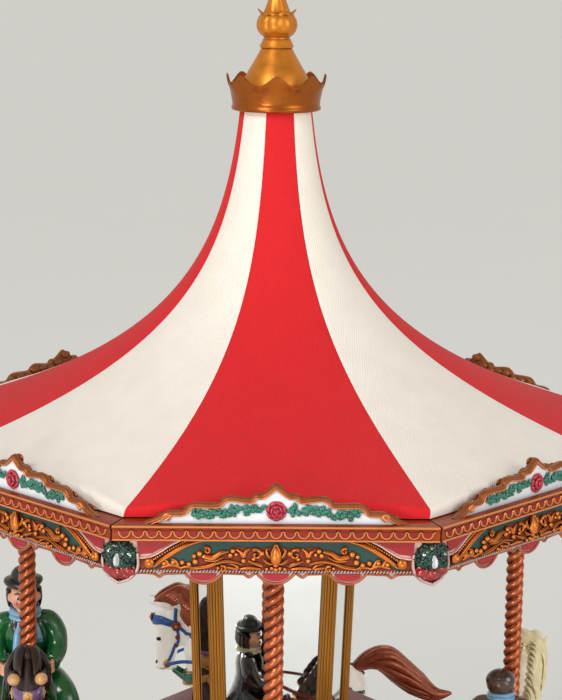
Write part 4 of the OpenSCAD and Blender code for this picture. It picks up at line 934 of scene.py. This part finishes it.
def horse_trim(skin):
    """Hooves, mane, tail, eyes, bridle, saddle and straps."""
    m = Maker()
    rnd = random.Random(5)

    def on(x, z, s, lift=0.0):
        """Point of the hide beside the middle plane."""
        hit = skin.ray_cast(Vector((x, 20 * s, z)), Vector((0, -s, 0)))[0]
        return np.array(hit) + (0, lift * s, 0)

    for s, leg, foot in LEGS:
        (x, z, w), (fx, fz) = leg[-1], foot
        a, b = np.array([x, 6.2 * s, z]), np.array([fx, 6.2 * s, fz])
        m.tube([a, a + (b - a) * 0.2, a + (b - a) * 0.25, a + (b - a) * 0.9, b], [3.3, 3.5, 3.1, 4.1, 3.9],
               "hoof", up=(0, 1, 0), flat=0.94, sides=16)
    crest = spline([(x, 0, z) for x, z in CREST_LINE], 60)
    for s in (-1, 1):
        for k in range(15):
            c = crest[min(59, 12 + int(k * 3.4))]
            reach = 10 + 7 * sin(pi * min(1, (k + 3) / 14)) + rnd.uniform(-1, 2)
            bend = rnd.uniform(-1.5, 1.5)
            path = [c + (0.8, 0, -1.2), c + (0.4, s * 3.8, 0), c + (-1.2 + bend, s * 6.6, -reach * 0.35),
                    c + (0.6 + bend, s * 7.0, -reach * 0.65), c + (-2.4 + bend, s * 7.8, -reach)]
            flow(m, path, 2.0, "mane", (0, s, 0.35), 0.55)
        for k in range(5):
            d = k * 0.8
            flow(m, [(40 - d, 0.6 * s, 50.6), (42.6 - d, (2.6 + 0.2 * k) * s, 52 - 0.5 * d),
                     (47 - 1.3 * d, (3.4 + 0.2 * k) * s, 50.2 - d),
                     (51.4 - 1.5 * d, (3.4 + 0.1 * k) * s, 47.9 - d),
                     (54.6 - 2.2 * d, (2.8 + 0.3 * k) * s, 45.4 - 0.6 * d)],
                 2.3, "mane", (0, 0.7 * s, 1), 0.7)
            flow(m, [(40.5 - d, 0.5 * s, 51), (40.6 - d, (4.6 + 0.3 * k) * s, 50.2 - d),
                     (40 - 1.1 * d, (7 + 0.3 * k) * s, 46 - d),
                     (38.6 - 1.3 * d, (7.6 + 0.2 * k) * s, 41 - 1.6 * d),
                     (36.6 - 1.6 * d, (7.4 + 0.2 * k) * s, 36.4 - 2 * d)],
                 2.3, "mane", (0, s, 0.4), 0.6)
    m.ball((41, 0, 49.4), (5.4, 5.2, 3.8), "mane", 8, 14)
    tail = spline([(-39.5, 0, 8), (-43.5, 0, 13), (-49.5, 0, 16.4), (-56.4, 0, 16.4), (-63.5, 0, 10.6),
                   (-71, 0, 4.2), (-80, 0, -1), (-88.5, 0, -0.6)], 60)
    fat = taper([2.2, 3.2, 5.2, 7.2, 7.4, 7.0, 4.2, 0.6], 60)
    m.tube(tail, fat * 0.72, "tail", up=(0, 1, 0), sides=16)
    ahead = np.gradient(tail, axis=0)
    ahead /= np.linalg.norm(ahead, axis=1)[:, None]
    over = np.cross(ahead, (0, 1, 0))
    for k in range(13):
        start, stop = (0, 60) if k % 3 else (0, 44 + rnd.randrange(10))
        span = np.arange(start, stop)
        b = TAU * k / 13 + 1.5 * np.linspace(0, 1, 60)[span] + 0.25 * np.sin(0.16 * span + k)
        spread = fat[span] * 0.72
        line = tail[span] + spread[:, None] * (np.cos(b)[:, None] * over[span]
                                               + np.sin(b)[:, None] * np.array([[0, 1, 0]]))
        t = np.linspace(0, 1, len(span))
        m.tube(line, (0.4 + 0.27 * fat[span]) * np.sin(np.pi * (0.2 + 0.78 * t)) ** 0.5, "tail",
               up=line - tail[span], flat=0.75, sides=8)
    for s in (-1, 1):
        eye = on(52.2, 27.6, s)
        m.ball(eye - (0, 0.15 * s, 0), (1.25, 0.6, 1.1), "eye_dark", 6, 10)
        m.tube([eye + (-1.7, 0.2 * s, 0.4), eye + (-0.3, 0.5 * s, 1.4), eye + (1.3, 0.1 * s, 0.7)],
               0.32, "hide", up=(0, s, 0), sides=6)
        m.ball(on(53.2, 15.4, s), (0.75, 0.6, 1.0), "nostril", 4, 8)
        m.tube([on(x, z, s, 0.1) for x, z in ((53.4, 12.4), (51, 12), (48.4, 13))], 0.28, "nostril",
               up=(1, 0, 0), sides=5)
        brow = [(55.6, 0.6 * s, 36.4), (54.4, 3 * s, 36.6), (51, 5 * s, 37), (47.5, 5.6 * s, 36),
                (43.6, 5.8 * s, 34.6)]
        strap(m, skin, brow, np.linspace(2.7, 1.5, STRAP_STEPS), "tack", 0.7)
        strap(m, skin, [(43.8, 5.8 * s, 43), (44, 6 * s, 38), (43.8, 6 * s, 34)], 0.9, "tack", 0.8)
        strap(m, skin, [(43.8, 6 * s, 34), (42.8, 5.6 * s, 28), (44.6, 5 * s, 21), (48, 4.4 * s, 15)],
              0.8, "tack", 0.8)
        strap(m, skin, [(43.8, 6 * s, 34), (40, 5.6 * s, 32), (37, 5.4 * s, 28)], 0.8, "tack", 0.7)
        rosette(m, on(43.8, 34.4, s, 1.5), 2.3, "rosette", sideways=s)
        m.ball(on(43.8, 34.4, s, 0.4), (2.3, 1.9, 2.3), "rosette", 6, 12)
        for x, z in ((43.2, 28.6), (43.9, 24.2)):
            m.ball(on(x, z, s, 0.7), (1.2, 0.7, 1.3), "rosette", 5, 8)
        bit = on(48.2, 15, s, 0.9)
        m.ball(bit, (1.9, 0.8, 2.0), "tack_gold", 6, 12)
        m.ball(bit + (0, 0.7 * s, 0), (0.9, 0.5, 0.9), "rosette", 4, 8)
        strap(m, skin, [(44, 6 * s, 8), (36, 11 * s, 9), (22, 12.5 * s, 6), (6, 13.5 * s, 3)],
              1.5, "collar")
        strap(m, skin, [(-28, 8 * s, 11), (-38, 12 * s, 4), (-47, 7 * s, 2)], 1.2, "collar")
        rosette(m, (29, 11.6 * s, 5.4), 3, "rosette", sideways=s)
        rosette(m, (-38, 12.0 * s, 4), 2.6, "rosette", sideways=s)
    m.ball((55.6, 0, 37), (0.9, 2.2, 2.2), "rosette", 6, 10)
    m.ball((56.2, 0, 37), (0.7, 1.0, 1.0), "tack_gold", 5, 8)
    band(m, skin, (26, 0, 13), (0.39, 0, 0.92), 2.4, "collar", 0.8)
    for lift in (-2.3, 2.3):
        band(m, skin, (26 + 0.39 * lift, 0, 13 + 0.92 * lift), (0.39, 0, 0.92), 0.5, "tack_gold", 0.9)
    band(m, skin, (1.5, 0, -1), (1, 0, 0), 1.3, "tack")
    strap(m, skin, [(-25, 0, 13), (-36, 0, 15), (-46, 0, 9)], 1.2, "collar")

    def drape(x0, x1, reach, lift, look, rows=15):
        """Cloth over the back, as a thin closed shell on the skin."""
        rings, edges = [], []
        for x in np.linspace(x0, x1, rows):
            u = (x - x0) / (x1 - x0)
            swing = reach * (0.86 + 0.14 * sin(pi * u) ** 0.5)
            outer, inner = [], []
            for a in np.linspace(-swing, swing, 31):
                d = Vector((0, sin(a), cos(a)))
                hit = skin.ray_cast(Vector((x, 0, -2)), d)[0]
                outer.append(hit + d * lift)
                inner.append(hit + d * 0.05)
            rings.append(np.array(outer + inner[::-1]))
            edges.append((outer[0], outer[-1]))
        m.rings(rings, look)
        border = [e[0] for e in edges] + [Vector(q) for q in rings[-1][1:30]]
        border += [e[1] for e in edges[::-1]] + [Vector(q) for q in rings[0][29:0:-1]]
        m.tube(border, 0.55, "tack_gold", up=[(0, q.y, q.z + 2) for q in border], loop=True, sides=6)

    drape(-27, 7, 2.0, 0.9, "blanket")
    drape(-23, 3, 1.45, 1.9, "saddle")
    cantle = spline([(-24, -8.6, 9.5), (-26, -6, 15.5), (-27, 0, 18), (-26, 6, 15.5), (-24, 8.6, 9.5)], 20)
    m.tube(cantle, 2.0, "saddle", up=(1, 0, 0.2), flat=0.7)
    m.tube(cantle + (-0.6, 0, 1.5), 0.6, "tack_gold", up=(1, 0, 0), sides=6)
    horn = spline([(5.6, -6.5, 10.5), (8, -3.6, 14), (8.6, 0, 15.4), (8, 3.6, 14), (5.6, 6.5, 10.5)], 18)
    m.tube(horn, 1.7, "saddle", up=(1, 0, 0), flat=0.8)
    return m.mesh("horse_trim", 60)


def rider_parts():
    """Coat, trousers, boots and head of a seated rider, each fused to one skin."""
    y = (0, 1, 0)
    coat, legs, boots, head = Maker(), Maker(), Maker(), Maker()
    torso = spline([(-14.4, 0, 3), (-14.2, 0, 11), (-13.6, 0, 18), (-13, 0, 26), (-12.6, 0, 31.5),
                    (-12.4, 0, 35.4)], 30)
    coat.tube(torso, taper([8, 7.4, 6.6, 7.4, 6.4, 3.2], 30), "coat",
              up=y, flat=1.42, sides=20)
    tails = spline([(-14.4, 0, 11), (-15.6, 0, 5), (-17.6, 0, -1), (-20, 0, -6)], 20)
    coat.tube(tails, np.linspace(7.4, 10.4, 20), "coat", up=y, flat=1.36, sides=24)
    for s in (-1, 1):
        arm = spline([(-12.8, 4 * s, 31.4), (-12.6, 9.4 * s, 30.8), (-11.6, 12.4 * s, 26),
                      (-8.6, 12.8 * s, 20), (-4, 11.2 * s, 17), (-0.8, 9.6 * s, 16)], 30)
        coat.tube(arm, taper([4.0, 4.8, 4.8, 4.5, 3.9, 3.2], 30), "coat",
                  up=(1, 0, 0), sides=14)
        coat.tube(arm[-6:-1], [3.4, 3.9, 4.0, 4.0, 3.8], "coat", up=(1, 0, 0), sides=14)
        flap = spline([(-13, 6.5 * s, 7), (-7, 11 * s, 5.6), (-1, 14.4 * s, 2.2),
                       (1.2, 16.2 * s, -4.4)], 20)
        coat.tube(flap, np.linspace(6.4, 5.9, 20), "coat", up=(0, 0.3, 1), sides=16)
        thigh = spline([(-12, 7.6 * s, 5), (-5, 12 * s, 3.2), (1.6, 15.4 * s, -1.6), (1.4, 16.2 * s, -8),
                        (-0.6, 16.4 * s, -13)], 26)
        legs.tube(thigh, taper([5.8, 5.4, 4.7, 3.8, 3.3], 26), "trousers",
                  up=(0, 0.3, 1), sides=14)
        shaft = spline([(-0.2, 16.3 * s, -10), (-1.6, 16.4 * s, -16), (-2.8, 16.5 * s, -22.4)], 16)
        boots.tube(shaft, np.linspace(4.1, 3.1, 16), "boot", up=y, sides=14)
        foot = spline([(-4.4, 16.5 * s, -22.6), (-1, 16.8 * s, -23.4), (2.6, 17.2 * s, -24.6),
                       (5, 17.4 * s, -25.4)], 14)
        boots.tube(foot, taper([2.4, 3.1, 2.7, 1.5], 14), "boot", up=y,
                   flat=0.86, sides=12)
    head.ball((-12, 0, 42.2), (6.4, 6.0, 7.0), "flesh", 12, 20)
    head.ball((-9.4, 0, 38.2), (3.9, 3.8, 3.2), "flesh", 8, 14)
    head.ball((-5.7, 0, 41.6), (1.4, 1.1, 1.3), "flesh", 6, 10)
    head.tube([(-12.6, 0, 34), (-12.4, 0, 38)], 3.4, "flesh", up=y, sides=14)
    for s in (-1, 1):
        head.ball((-12.2, 6.1 * s, 42), (1.7, 1.0, 2.1), "flesh", 6, 10)
        head.ball((-7.6, 3.0 * s, 40.4), (1.8, 1.8, 1.9), "flesh", 6, 10)
    return [fuse(coat, "rider_coat", "coat", 0.55, 3), fuse(legs, "rider_trousers", "trousers", 0.6, 3),
            fuse(boots, "rider_boots", "boot", 0.6, 2), fuse(head, "rider_head", "flesh", 0.45, 3)]


def headwear(m, hat):
    """A bowler, a topper or a close cap on the rider's head."""
    if hat == "cap":
        m.ball((-0.4, 0, 44.2), (6.5, 7.1, 6.4), "hat", 16, 28)
        m.ball((-0.8, 0, 41.4), (6.1, 6.3, 5.2), "hat", 14, 24)
        return
    top, tall = {"bowler": (5.5, 7.4), "topper": (5.6, 8.6)}[hat]
    a = np.arange(64) * TAU / 64
    roll = np.stack([6.6 * np.cos(a), 6.6 * np.sin(a), 48.5 + 0.45 * (1 - np.cos(2 * a))], 1)
    m.tube(roll, 1.75, "hat", up=(0, 0, 1), flat=0.85, sides=16, loop=True)
    if hat == "topper":
        dome = [(top - 0.5, 52), (top - 0.1, 47.8 + tall), (top - 0.8, 48.6 + tall), (1, 48.7 + tall)]
    else:
        dome = [(top * cos(b) ** 0.8, 50 + (tall - 1.8) * sin(b)) for b in np.linspace(0.1, 1.5, 12)]
    m.lathe([(1, 47.2), (top + 0.8, 47.4), (top + 0.1, 48.6), (top, 49.6)] + dome, "hat", 64)
    m.lathe([(top - 0.3, 49), (top + 0.5, 49.3), (top + 0.45, 51), (top - 0.3, 51.1)], "hat_band", 40)


def rider_trim(hat):
    """Face, hair, hands, lapels, scarf, stirrups and headwear of a rider."""
    m = Maker()
    for s in (-1, 1):
        m.ball((-6.15, 2.5 * s, 43.4), (0.55, 1.1, 0.8), "eye_white", 6, 10)
        m.ball((-5.75, 2.5 * s, 43.3), (0.45, 0.6, 0.65), "eye_dark", 6, 10)
        m.tube(spline([(-5.9, 1.2 * s, 44.9), (-5.7, 2.6 * s, 45.5), (-6.7, 3.9 * s, 45.0)], 8), 0.32,
               "hair", up=(1, 0, 0), sides=5)
        m.ball((-6.35, 3.3 * s, 40.8), (0.5, 1.2, 1.0), "cheek", 5, 10)
        m.ball((1.3, 8.5 * s, 15.7), (2.7, 2.2, 2.5), "flesh", 8, 12)
        for k in range(4):
            z = 13.9 + 1.2 * k
            finger = [(1.5 + 2.7 * cos(b), (8.6 + 2.2 * sin(b)) * s, z) for b in np.linspace(1.9, -1.6, 10)]
            m.tube(finger, np.linspace(0.85, 0.65, 10), "flesh", up=(0, 0, 1), sides=6)
        m.tube(spline([(-9.6, 1.0 * s, 36), (-6.1, 3.8 * s, 31.6), (-5.2, 2.6 * s, 25.4),
                       (-5.6, 0.8 * s, 20)], 16),
               np.array([1.0, 1.6, 2.1, 2.3, 2.3, 2.2, 2.1, 1.9, 1.7, 1.5, 1.3, 1.1, 0.9, 0.7, 0.5, 0.3]),
               "lapel", up=(1, 0, 0), flat=0.35)
        m.ball((-13.4, 5.0 * s, 42.2), (3.2, 1.6, 4.0), "hair", 6, 10)
        stirrup = [(1.4 + 2.6 * cos(a), 17 * s, -22.6 + 3.9 * sin(a)) for a in np.arange(18) * TAU / 18]
        m.tube(stirrup, 0.5, "tack_gold", loop=True, sides=6)
        hang = [(-7, 1.8 * s, 34), (-4.7, 4.2 * s, 30.6), (-4.2, 5 * s, 26)]
        if s < 0:
            hang[1:] = [(-4.7, -3.4, 28), (-4.0, -4.4, 20), (-3.6, -5.6, 14)]
        tail = spline(hang, 16)
        m.tube(tail, np.linspace(1.3, 1.9, 16), "scarf", up=(1, 0, 0), flat=0.42)
        for j in range(5):
            x, w, z = tail[-1]
            w += 0.8 * (j - 2)
            m.tube([(x, w, z + 0.3), (x - 0.1, w, z - 1), (x, w, z - 1.8)], [0.4, 0.34, 0.2], "scarf",
                   up=(1, 0, 0), sides=5)
    m.tube(spline([(-5.9, -1.5, 38.5), (-5.5, 0, 38.1), (-5.9, 1.5, 38.5)], 8),
           np.array([0.2, 0.45, 0.6, 0.65, 0.65, 0.6, 0.45, 0.2]), "lips", up=(1, 0, 0), sides=6)
    m.ball((-13.9, 0, 42.4), (6.3, 6.4, 6.6), "hair", 10, 16)
    for k in range(0 if hat == "cap" else 9):
        a = radians(90 + 22.5 * k)
        x, w = -13 + 6.5 * cos(a), 6.5 * sin(a)
        m.tube(spline([(x, w, 45.4), (x - 0.5, w * 1.06, 41), (x + 0.3, w * 0.98, 37.6)], 10),
               np.linspace(1.8, 0.7, 10), "hair", up=(cos(a), sin(a), 0), flat=0.6)
    for k, z in enumerate((30, 25.6, 21.2, 16.8)):
        m.ball((-5.2 - 0.25 * k - (0.7 if k > 1 else 0), 0, z), (0.6, 0.8, 0.8), "tack_gold", 5, 8)
    for k, (r, z) in enumerate(((5.4, 34.6), (5.0, 36.4))):
        a = np.arange(36) * TAU / 36
        loop = np.stack([-12.3 + (r + 0.6) * np.cos(a), r * np.sin(a), z - 0.9 * np.cos(a)], 1)
        m.tube(loop, 1.9 + 0.25 * np.sin(5 * a + k), "scarf", up=(0, 0, 1), flat=0.8, loop=True)
    m.ball((-6.3, 0, 34.2), (1.9, 2.6, 2.1), "scarf", 8, 12)
    shape = Maker()
    headwear(shape, hat)
    for v in shape.verts:
        v += (-12.2, 0, 0)
    m.verts += shape.verts
    m.faces += [[i + m.count for i in f] for f in shape.faces]
    m.looks += shape.looks
    m.count += shape.count
    return m.mesh("rider_trim_" + hat, 50)


def paint(name, colour, **more):
    """Glossy enamel as one more finish."""
    FINISH[name] = finish(name, colour, **{"rough": 0.32, "coat": 0.45, "vary": 0.14, **more})
    return name


# Outfits by station: headwear, rider's scale, yaw of the figure, lean of the rider, colours
OUTFITS = {
    1: ("bowler", 0.75, 0, 0, dict(
        hide=(196, 178, 158), mane=(60, 44, 36), tail=(60, 44, 36), tack=(120, 26, 34),
        collar=(176, 120, 40), blanket=(28, 60, 110), rosette=(190, 50, 60), coat=(20, 17, 20),
        hat=(10, 9, 11), scarf=(224, 214, 190), trousers=(70, 66, 70), hair=(40, 26, 20))),
    2: ("cap", 0.79, -18, -4.4, dict(
        hide=(246, 232, 204), mane=(236, 222, 176), tail=(206, 160, 92), tack=(44, 92, 176),
        collar=(48, 96, 168), blanket=(150, 30, 40), rosette=(196, 60, 70), coat=(104, 78, 58),
        hat=(58, 32, 22), scarf=(128, 176, 214), trousers=(60, 54, 84), hair=(74, 48, 34))),
    3: ("topper", 0.9, 0, 0, dict(
        hide=(250, 246, 236), mane=(166, 82, 46), tail=(160, 76, 42), tack=(34, 96, 176),
        collar=(22, 100, 72), blanket=(132, 28, 38), rosette=(132, 22, 38), coat=(30, 44, 92),
        hat=(24, 26, 44), scarf=(196, 40, 46), trousers=(186, 170, 140), hair=(90, 54, 30))),
    4: ("bowler", 1.02, 6, 2.0, dict(
        hide=(46, 24, 15), mane=(40, 20, 13), tail=(34, 18, 12), tack=(112, 74, 124),
        collar=(178, 130, 70), blanket=(120, 30, 60), rosette=(192, 146, 92), coat=(10, 92, 44),
        hat=(42, 27, 22), scarf=(122, 172, 208), trousers=(58, 78, 142), hair=(36, 24, 18))),
}
COMMON = dict(hoof=(44, 34, 28), tack_gold=(206, 146, 56), saddle=(104, 52, 28), eye_white=(236, 234, 228),
              eye_dark=(12, 10, 10), nostril=(120, 84, 74), flesh=(226, 164, 132), cheek=(218, 112, 96),
              lips=(176, 44, 44), boot=(26, 22, 22), lapel=(30, 26, 26), hat_band=(20, 18, 20),
              ear_tip=(204, 152, 100))


# Finish of single parts where it isn't the usual enamel
GLOSS = {
    "tack_gold": dict(metal=0.7, rough=0.28), "mane_3": dict(metal=0.55, rough=0.28),
    "tail_3": dict(metal=0.55, rough=0.28), "mane_2": dict(wash_and_shade=(206, 180, 126), reach=0.8),
    "mane_4": dict(coat=0.08, rough=0.45), "hide_4": dict(coat=0.05, rough=0.5),
    # hide_3 and hide_2 glow a little: painted light on the pale horses in the canopy's shade
    "hide_3": dict(coat=0.3, wash_and_shade=(220, 202, 182), glow=0.2), "hide_2": dict(coat=0.3, glow=0.1),
    "hat_2": dict(rough=0.14, coat=0.9), "coat": dict(rough=0.2, coat=0.8),
    "hat": dict(rough=0.3, coat=0.25), "hide": dict(coat=0.25)}


def dress(mesh, names):
    """Copy of a mesh in one figure's colours."""
    me = mesh.copy()
    for k, material in enumerate(me.materials):
        me.materials[k] = FINISH[names.get(material.name, material.name)]
    return me


def figures():
    for part, colour in {**COMMON, **OUTFITS[1][4]}.items():
        paint(part, colour, **GLOSS.get(part, {}))
    hide = horse_skin()
    trim = horse_trim(skin_of(hide))
    body_parts = rider_parts()
    for i, (hat, size, yaw, lean, colours) in OUTFITS.items():
        # Each figure colour also goes into its hollows at 0.35 of its brightness: painted shade
        names = {part: paint(f"{part}_{i}", colour, **{"wash_and_shade": 0.35, "reach": 1.6, **GLOSS.get(
            f"{part}_{i}", GLOSS.get(part, {}))}) for part, colour in colours.items()}
        seat = turn(90 * (i - 2)) @ Matrix.Translation((POLE_CIRCLE * MM, 0, (YOKE_Z[i] + FIGURE_Z) * MM)) \
            @ turn(90 + yaw)
        body = f"rider_pole_{i}"
        put(f"horse_hide_{i}", dress(hide, names), body, [f"horse_{i}"], seat)
        put(f"horse_trim_{i}", dress(trim, names), body, [], seat)
        ride = Matrix.Translation((0, 0, SEAT_Z * MM)) @ Matrix.Rotation(radians(lean), 4, "X") \
            @ Matrix.Diagonal((size, (1 + size) / 2, size, 1))
        for k, mesh in enumerate(body_parts):
            put(f"{mesh.name}_{i}", dress(mesh, names), body, [] if k else [f"rider_{i}"],
                seat @ ride)
        put(f"rider_trim_{i}", dress(rider_trim(hat), names), body, [], seat @ ride)
        reins = Maker()
        for s in (-1, 1):
            hand = np.array(ride @ Vector((2.4 * MM, 8.8 * s * MM, 15.4 * MM))) / MM
            rein = [(48.4, 5.2 * s, 14.8), (41, 8.6 * s, 17.6), (28, 11.6 * s, 18.6), (14, 11 * s, 22),
                    hand + (4, 0.4 * s, -0.5), hand]
            reins.tube(spline(rein, 40), 0.85, "tack", up=(0, s, 0.2), flat=0.35)
            slack = [hand, hand + (-2.6, 0.6 * s, -3), (2, 13 * s, 13), (6, 13.6 * s, 9.5)]
            reins.tube(spline(slack, 16), 0.8, "tack", up=(0, s, 0.2), flat=0.35)
            if i == 4:
                reins.ball((56, 5.4 * s, 44.6), (3.0, 2.6, 2.4), "ear_tip", 8, 14)
        put(f"reins_{i}", dress(reins.mesh(f"reins_{i}"), names), body, [], seat)


# ---------------------------------------------------------------- stage, lights, camera


def stage():
    """Pale round floor that curves up into a wall all round."""
    m = Maker()
    flat, curve, top = 2400, 1000, 3600
    bend = [(flat + curve * sin(b), curve - curve * cos(b)) for b in np.linspace(0.1, pi / 2, 16)]
    m.lathe([(0.1, 0), (400, 0), (1200, 0), (flat, 0)] + bend + [(flat + curve, top)],
            "floor_paper", 128, ends=False)
    obj = bpy.data.objects.new("studio_floor", m.mesh("studio_floor", 80))
    bpy.context.scene.collection.objects.link(obj)


# Soft round lamps: name, place, diameter, watts, aim, spread in degrees
LAMPS = [
    ("key", (-1.0, -1.5, 1.6), 0.9, 18.8, (0, 0, 0.3), 180),
    ("fill", (1.4, -1.3, 0.9), 1.2, 10, (0, 0, 0.3), 180),
    ("back", (0.3, 1.6, 1.9), 1.0, 3.8, (0, 0, 0.3), 180),
    ("low", (-0.6, -1.3, 0.15), 0.4, 5, (0, 0, 0.15), 180),
    ("front_floor", (0, -1.05, 1.5), 0.5, 3.4, (0, -1.05, 0), 50),
]


def light(name, at, size, power, aim, spread):
    """Round area lamp that faces its aim."""
    data = bpy.data.lights.new(name, "AREA")
    data.shape, data.size, data.energy, data.spread = "DISK", size, power, radians(spread)
    obj = bpy.data.objects.new(name, data)
    bpy.context.scene.collection.objects.link(obj)
    obj.location = at
    obj.rotation_euler = (Vector(aim) - Vector(at)).to_track_quat("-Z", "Y").to_euler()


def camera():
    """Long lens a little above the canopy rail, looking down; around turns it about Z."""
    pitch, yaw, roll, around = (radians(v) for v in (11.53, 0.211, 0.62, -0.64))
    ahead = Vector((sin(yaw) * cos(pitch), cos(yaw) * cos(pitch), -sin(pitch)))
    right = Vector((cos(yaw), -sin(yaw), 0))
    up = right.cross(ahead)
    r = right * cos(roll) + up * sin(roll)
    u = up * cos(roll) - right * sin(roll)
    eye = Vector((0, -0.8232, RAIL * MM + 0.2023))
    m = Matrix.Translation(eye) @ Matrix((r, u, -ahead)).transposed().to_4x4()
    data = bpy.data.cameras.new("camera")
    data.lens, data.sensor_width, data.sensor_fit = 104.66, 36, "AUTO"
    obj = bpy.data.objects.new("camera", data)
    bpy.context.scene.collection.objects.link(obj)
    obj.matrix_world = Matrix.Rotation(around, 4, "Z") @ m
    bpy.context.scene.camera = obj


camera()
stage()
for row in LAMPS:
    light(*row)
world = bpy.data.worlds.new("studio")
world.use_nodes = True
sky = world.node_tree.nodes["Background"].inputs
sky["Color"].default_value, sky["Strength"].default_value = srgb(236, 238, 240), 0.34
bpy.context.scene.world = world
bpy.context.scene.view_settings.view_transform = "Standard"

for look, names in KEPT.items():
    for name in names:
        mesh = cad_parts[name].data
        mesh.materials.clear()
        mesh.materials.append(FINISH[look])

roof_cover()
rounding_boards()
wreaths()
crown_and_finial()
column_posts()
narrow_mirrors()
poles()
figures()
